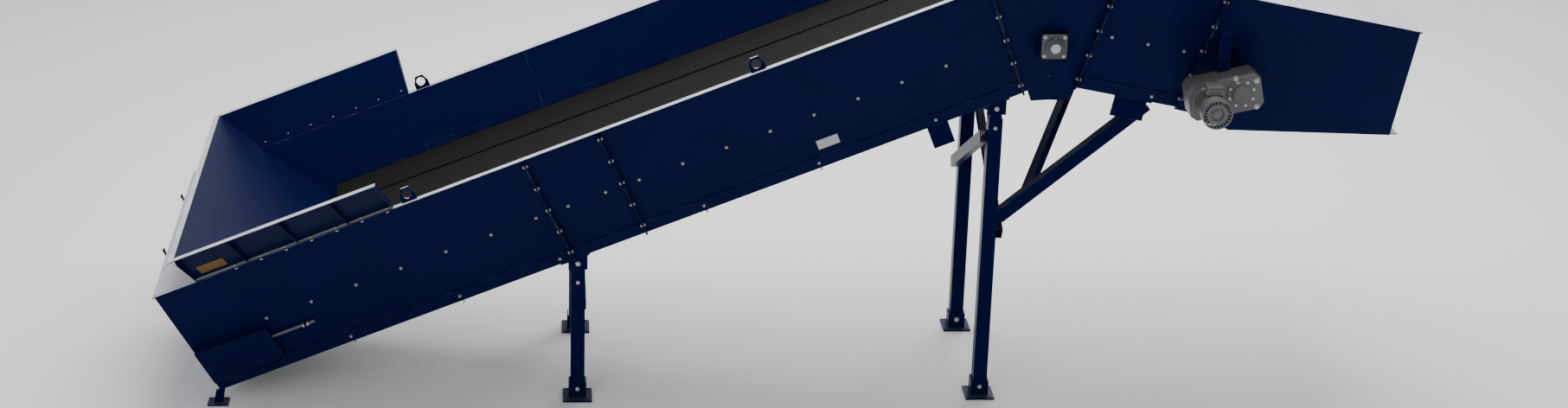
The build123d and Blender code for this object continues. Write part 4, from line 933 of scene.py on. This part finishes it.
class CONVEYOR_OT_bearings(PieceOperator):
    """Four-bolt flange bearings with collars, seals and grease nipples"""

    bl_idname = "conveyor.bearings"
    bl_label = "Flange bearings"

    def make(self):
        iron, zinc = [], []
        for name in ("knee_shaft", "head_shaft"):
            centre = middle(name)
            for side in SIDES:
                place = upright(centre.x, side * BEARING_Y, centre.z) @ along((0, side, 0))
                for piece, group in zip(self.bearing(), (iron, zinc)):
                    piece.data.transform(place)
                    group.append(piece)
        piece = join("flange_bearings", iron)
        hand_over(smooth(piece), "frame", "bearing_iron", finish_named("bearing_iron"), "shaft_bearings")
        hand_over_plated(join("bearing_bolts", zinc))

    def bearing(self):
        """One bearing, its mounting face at z = 0: the casting, and its bolts with the nipple."""
        flange = block("flange", (-FLANGE_HALF, -FLANGE_HALF, 0), (FLANGE_HALF, FLANGE_HALF, FLANGE_THICK))
        edit(flange, side_face, lambda: bpy.ops.mesh.select_all(action="SELECT"),
             lambda: bpy.ops.mesh.bevel(offset=0.022, segments=1, affect="VERTICES"))
        modify(flange, "BEVEL", width=0.003, segments=2)
        hub = drum("hub", 0.056, 0.026, 48, 0, 0.014)
        edit(hub, top_face, inset(0.007), pull(0.008), inset(0.005), pull(-0.004))
        modify(hub, "BEVEL", width=0.002, segments=2, limit_method="ANGLE")
        collar = drum("collar", 0.043, 0.012, 40, 0.002, 0.040)
        edit(collar, top_face, inset(0.0125), pull(-0.006))
        boss = drum("boss", 0.009, 0.012, 20, 0.0015, 0.0)
        slant = Matrix.Translation(NIPPLE_SPOT) @ along(NIPPLE_WAY)
        boss.data.transform(slant)
        body = join("bearing", [flange, hub, collar, boss])
        bolts = []
        for x in (-FLANGE_BOLT, FLANGE_BOLT):
            for y in (-FLANGE_BOLT, FLANGE_BOLT):
                bolt = drum("washer", 0.012, 0.0022, 24, 0.0005, FLANGE_THICK)
                head = drum("head", 0.0105, 0.0075, 6, 0, FLANGE_THICK + 0.002)
                edit(head, top_face, inset(0.0018), lift(0.0007))
                bolt = join("bolt", [bolt, head])
                bolt.data.transform(upright(x, y, 0))
                bolts.append(bolt)
        nipple = drum("nipple", 0.0042, 0.010, 12, 0.001, 0.011)
        nipple.data.transform(slant)
        return body, join("bolts", bolts + [nipple])


SHELL_RADIUS, SHELL_START = 0.079, 0.012
FIN_HIGH, FIN_STEP = 0.010, 5
BELL_RADIUS, BELL_LONG = 0.0895, 0.022
EAR_REACH = 0.085
SHAFT_RING = 0.0145
COWL_RADIUS, COWL_SHEET = 0.093, 0.0022
SLOT_STEP, SLOT_HALF = 3.75, 0.009
SLOT_RINGS = (0.0715, 0.0405)
BOX_HALF, BOX_START, BOX_END = 0.052, 0.018, 0.120
GLAND_DROP = 0.034
COVER_DEEP = 0.022
COVER_SCREWS, COVER_REACH = 8, 0.078
OIL_PLUGS = ((0.085, 0.085), (0.100, -0.080), (-0.045, 0.098))


class CONVEYOR_OT_gearmotor(PieceOperator):
    """Finned motor, fan cowl with its grille, terminal box, and the gear case's cover and plugs"""

    bl_idname = "conveyor.gearmotor"
    bl_label = "Gearmotor"

    def make(self):
        cowl_low, cowl_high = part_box("fan_cowl")
        x, _, z = middle("fan_cowl")
        body_low, body_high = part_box("motor_housing")
        length = body_high.y - body_low.y
        place = Matrix.Translation((x, body_high.y, z)) @ along((0, -1, 0))
        enamel = finish_named("drive_enamel")
        motor = join("motor_detail", self.motor(length))
        hand_over(smooth(settle(motor, place)), "frame", "motor_paint", enamel, "motor_housing")
        cowl = self.cowl(cowl_high.y - cowl_low.y)
        cowl_place = Matrix.Translation((x, cowl_high.y, z)) @ along((0, -1, 0))
        hand_over(smooth(settle(cowl, cowl_place)), "frame", "cowl_paint", enamel, "fan_cowl")
        box = self.terminal_box((x, body_low.y, body_high.z))
        hand_over(smooth(box), "frame", "motor_paint", enamel)
        self.gear_fittings(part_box("gear_case")[0])

    def motor(self, length):
        """The motor's body along z: mounting flange, finned shell and end bell."""
        flange = drum("flange", 0.099, 0.014, 64, 0.002)
        shell = drum("shell", SHELL_RADIUS, length - SHELL_START - BELL_LONG, 72, 0, SHELL_START)
        edit(shell, self.in_fin,
             lambda: bpy.ops.mesh.extrude_faces_move(TRANSFORM_OT_shrink_fatten={"value": FIN_HIGH}))
        bell = drum("bell", BELL_RADIUS, BELL_LONG, 64, 0.003, length - BELL_LONG - 0.0005)
        neck = drum("neck", 0.086, 0.018, 64, 0.003, SHELL_START)
        pieces = [flange, shell, bell, neck]
        for i in range(4):
            angle = math.radians(45 + 90 * i)
            ear = drum("ear", 0.011, 0.018, 16, 0.0015, 0.013)
            ear.data.transform(upright(EAR_REACH * math.cos(angle), EAR_REACH * math.sin(angle), 0))
            pieces.append(ear)
        for piece in pieces:
            edit(piece, self.wide_end, inset(SHAFT_RING))
        return pieces

    def in_fin(self, face):
        """Whether a side face of the shell is one of those that rise as fins."""
        turn = math.degrees(math.atan2(face.normal.y, face.normal.x))
        return side_face(face) and round(turn / FIN_STEP - 0.5) % 2 == 0

    def wide_end(self, face):
        """Whether a face is a wide flat end, which gets a ring inside its rim."""
        return abs(face.normal.z) > 0.99 and len(face.vertices) > 8 and face.area > 0.004

    def cowl(self, depth):
        """The fan cowl along z: a deep-drawn cap with a rolled rim and a dished grille of slots."""
        cowl = drum("cowl_detail", COWL_RADIUS, depth, 96)
        edit(cowl, lambda face: face.normal.z < -0.99, lambda: bpy.ops.mesh.delete(type="FACE"))
        edit(cowl, top_face, inset(0.004), inset(0.004, -0.002), inset(0.010), inset(0.012), inset(0.002),
             inset(0.018), inset(0.002), inset(0.018))
        edit(cowl, self.in_slot, inset(0.0008), lambda: bpy.ops.mesh.delete(type="FACE"))
        modify(cowl, "SOLIDIFY", thickness=COWL_SHEET, offset=-1)
        bead = ring("bead", 0.0905, COWL_SHEET, 0.012, 96)
        return join("cowl_detail", [cowl, bead])

    def in_slot(self, face):
        """Whether a face of the grille lies in one of its slots."""
        reach = math.hypot(face.center.x, face.center.y)
        turn = round((math.degrees(math.atan2(face.center.y, face.center.x)) % 360) / SLOT_STEP - 0.5)
        in_ring = any(abs(reach - radius) < SLOT_HALF for radius in SLOT_RINGS)
        return face.normal.z > 0.9 and turn % 4 != 0 and in_ring

    def terminal_box(self, corner):
        """The terminal box on the motor's far end, with its lid, screws and gland."""
        x, y, top = corner
        low, high = y + BOX_START, y + BOX_END
        base = block("base", (x - BOX_HALF, low, top - 0.058), (x + BOX_HALF, high, top - 0.016), 0.006, 3)
        lid = block("lid", (x - BOX_HALF, low, top - 0.015), (x + BOX_HALF, high, top - 0.002), 0.004, 3)
        edit(lid, top_face, inset(0.008), pull(-0.0015))
        pieces = [base, lid]
        for dx in (-0.042, 0.042):
            for dy in (0.010, 0.092):
                screw = drum("screw", 0.0042, 0.002, 16, 0.0006, top - 0.0025)
                screw.data.transform(upright(x + dx, low + dy, 0))
                pieces.append(screw)
        outlet = upright(x - BOX_HALF, (low + high) / 2, top - GLAND_DROP) @ along((-1, 0, 0))
        for piece in (drum("gland", 0.014, 0.020, 6, 0.002), drum("cap", 0.0105, 0.010, 24, 0.002, 0.019)):
            piece.data.transform(outlet)
            pieces.append(piece)
        return join("terminal_box_detail", pieces)

    def gear_fittings(self, low):
        """Cover screws, oil plugs, and the cover with its shaft cap, on the gear case's near face."""
        cx, _, cz = middle("head_shaft")
        face_y = low.y + COVER_DEEP
        angles = [math.radians(360 / COVER_SCREWS * (i + 0.5)) for i in range(COVER_SCREWS)]
        spots = [(0.006, COVER_REACH * math.cos(angle), COVER_REACH * math.sin(angle)) for angle in angles]
        spots += [(0.009, dx, dz) for dx, dz in OIL_PLUGS]
        screws = []
        for radius, dx, dz in spots:
            head = bolt_head(radius)
            head.data.transform(upright(cx + dx, face_y, cz + dz) @ along((0, -1, 0)))
            screws.append(head)
        hand_over_plated(join("gear_case_screws", screws))
        cover = drum("cover", 0.090, 0.006, 64, 0.0015)
        edit(cover, top_face, inset(0.020), pull(0.004), inset(0.013), pull(0.006))
        cap = drum("cap", 0.051, 0.004, 48, 0.0012, 0.0175)
        cover = join("output_cover", [cover, cap])
        place = Matrix.Translation((cx, face_y, cz)) @ along((0, -1, 0))
        hand_over(smooth(settle(cover, place)), "frame", "motor_paint", finish_named("drive_enamel"))


HOPPER_RIM_HALF, HOPPER_RIM = 1.307, 0.052
HOPPER_RISE = 0.250
PATCH_X, PATCH_UP = 0.338, 0.055
PLATE_X, PLATE_R = 4.120, 0.150


class CONVEYOR_OT_hopper_details(PieceOperator):
    """Plain safety patch on the hopper and plain plate on the wall"""

    bl_idname = "conveyor.hopper_details"
    bl_label = "Patch and plate"

    def make(self):
        s = sizes()
        foot_y, foot_z = s.half + s.wall * math.sin(s.lean), s.wall * math.cos(s.lean)
        rim_y, rim_z = HOPPER_RIM_HALF - HOPPER_RIM, foot_z + HOPPER_RISE
        reach = math.hypot(rim_y - foot_y, rim_z - foot_z)
        up = Vector((0, -(rim_y - foot_y) / reach, (rim_z - foot_z) / reach))
        out = Vector((0, -up.z, up.y))
        turn = Matrix((Vector((1, 0, 0)), up, out)).transposed().to_4x4()
        spot = Vector((PATCH_X, -foot_y, foot_z)) + up * PATCH_UP + out * (s.sheet + 0.0004)
        patch = block("safety_patch", (0, 0, 0), (0.170, 0.095, 0.0012), 0.0004)
        place = rising() @ Matrix.Translation(spot) @ turn
        hand_over(settle(patch, place), "frame", "scraper_plastic", finish_named("safety_patch"))
        plate = block("wall_plate", (-0.070, 0, 0), (0.070, 0.080, 0.0015), 0.0005)
        edit(plate, top_face, inset(0.005), pull(-0.0006))
        screws = []
        for dx in (-0.063, 0.063):
            screw = drum("rivet", 0.003, 0.0018, 16, 0.0008, 0.001)
            screw.data.transform(upright(dx, 0.040, 0))
            screws.append(screw)
        plate = join("wall_plate", [plate] + screws)
        place = on_wall(rising(), PLATE_X, PLATE_R, s.sheet, -1)
        hand_over(settle(plate, place), "frame", "zinc", finish_named("plain_plate"))


class CONVEYOR_OT_rollers(PieceOperator):
    """Return rollers with pressed end caps, seals and weld seams"""

    bl_idname = "conveyor.rollers"
    bl_label = "Return rollers"

    def make(self):
        for i in ROLLERS:
            self.roller(f"return_roller_{i}", f"idler_{i}")
        self.roller("knee_return_roller", "knee_idler")

    def roller(self, node, body):
        """One roller: a tube with rolled rims, dished ends and a seal lip around the axle."""
        low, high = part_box(node)
        radius, length = (high.x - low.x) / 2, high.y - low.y
        shell = drum(f"{node}_detail", radius, length, 72, 0.002)
        for sign in (1, -1):
            edit(shell, lambda face: face.normal.z * sign > 0.99 and face.area > 0.0002,
                 inset(0.005), pull(-0.006), inset(radius * 0.35), pull(0.004),
                 inset(radius * 0.14), pull(-0.003))
        seams = [ring("seam", radius - 0.0001, 0.0006, z, 72, 6) for z in (0.012, length - 0.012)]
        roller = join(f"{node}_detail", [shell] + seams)
        centre = middle(node)
        place = upright(centre.x, low.y, centre.z) @ along((0, 1, 0))
        hand_over(smooth(settle(roller, place)), body, "zinc", finish_named("zinc_plate"), node)


STRAP_CORNER = Vector((0.0045, 0.014, 0.046))
GRIP_RIBS = (0.032, 0.038, 0.044)


class CONVEYOR_OT_latches(PieceOperator):
    """Rubber draw latches: a pull strap with ribs, a tee end and side flanges"""

    bl_idname = "conveyor.latches"
    bl_label = "Draw latches"

    def make(self):
        turn = rising()
        for side in ("near", "far"):
            centre = middle(f"latch_{side}")
            spot = turn.inverted() @ centre
            strap = block("strap", -STRAP_CORNER, STRAP_CORNER, 0.003, 3)
            tee = drum("tee", 0.006, 0.046, 24, 0.002, -0.023)
            tee.data.transform(upright(0.001, 0, -0.040) @ Matrix.Rotation(math.radians(90), 4, "X"))
            grip = block("grip", (-0.006, -0.020, 0.030), (0.005, 0.020, 0.052), 0.004, 3)
            ribs = [block("rib", (-0.0065, -0.012, z), (-0.005, 0.012, z + 0.003), 0.0006) for z in GRIP_RIBS]
            latch = join(f"latch_{side}_detail", [strap, tee, grip] + ribs)
            settle(latch, turn @ upright(spot.x, centre.y, spot.z))
            hand_over(smooth(latch), f"{side}_latch", "black_rubber", finish_named("latch_rubber"),
                      f"latch_{side}")


PIECE_OPERATORS = (
    CONVEYOR_OT_stage,
    CONVEYOR_OT_finishes,
    CONVEYOR_OT_fasteners,
    CONVEYOR_OT_leg_fittings,
    CONVEYOR_OT_bearings,
    CONVEYOR_OT_gearmotor,
    CONVEYOR_OT_hopper_details,
    CONVEYOR_OT_rollers,
    CONVEYOR_OT_latches,
)


class CONVEYOR_PT_panel(bpy.types.Panel):
    """Panel that lists the pieces"""

    bl_idname = "CONVEYOR_PT_panel"
    bl_label = "Belt conveyor section"
    bl_space_type = "VIEW_3D"
    bl_region_type = "UI"
    bl_category = "Conveyor"

    def draw(self, context):
        for operator in PIECE_OPERATORS:
            self.layout.operator(operator.bl_idname)
        for settings in (context.scene.conveyor_sizes, context.scene.conveyor_finish):
            for item in settings.bl_rna.properties:
                if item.identifier not in ("rna_type", "name"):
                    self.layout.prop(settings, item.identifier)


CLASSES = (ConveyorSizes, ConveyorFinish, *PIECE_OPERATORS, CONVEYOR_PT_panel)


def register():
    """Register the classes and the settings."""
    for item in CLASSES:
        bpy.utils.register_class(item)
    bpy.types.Scene.conveyor_sizes = bpy.props.PointerProperty(type=ConveyorSizes)
    bpy.types.Scene.conveyor_finish = bpy.props.PointerProperty(type=ConveyorFinish)


def unregister():
    """Take the settings and classes away."""
    del bpy.types.Scene.conveyor_finish
    del bpy.types.Scene.conveyor_sizes
    for item in reversed(CLASSES):
        bpy.utils.unregister_class(item)


def main():
    """Make every piece in order."""
    register()
    for operator in PIECE_OPERATORS:
        group, call = operator.bl_idname.split(".")
        getattr(getattr(bpy.ops, group), call)()


if __name__ == "__main__":
    main()
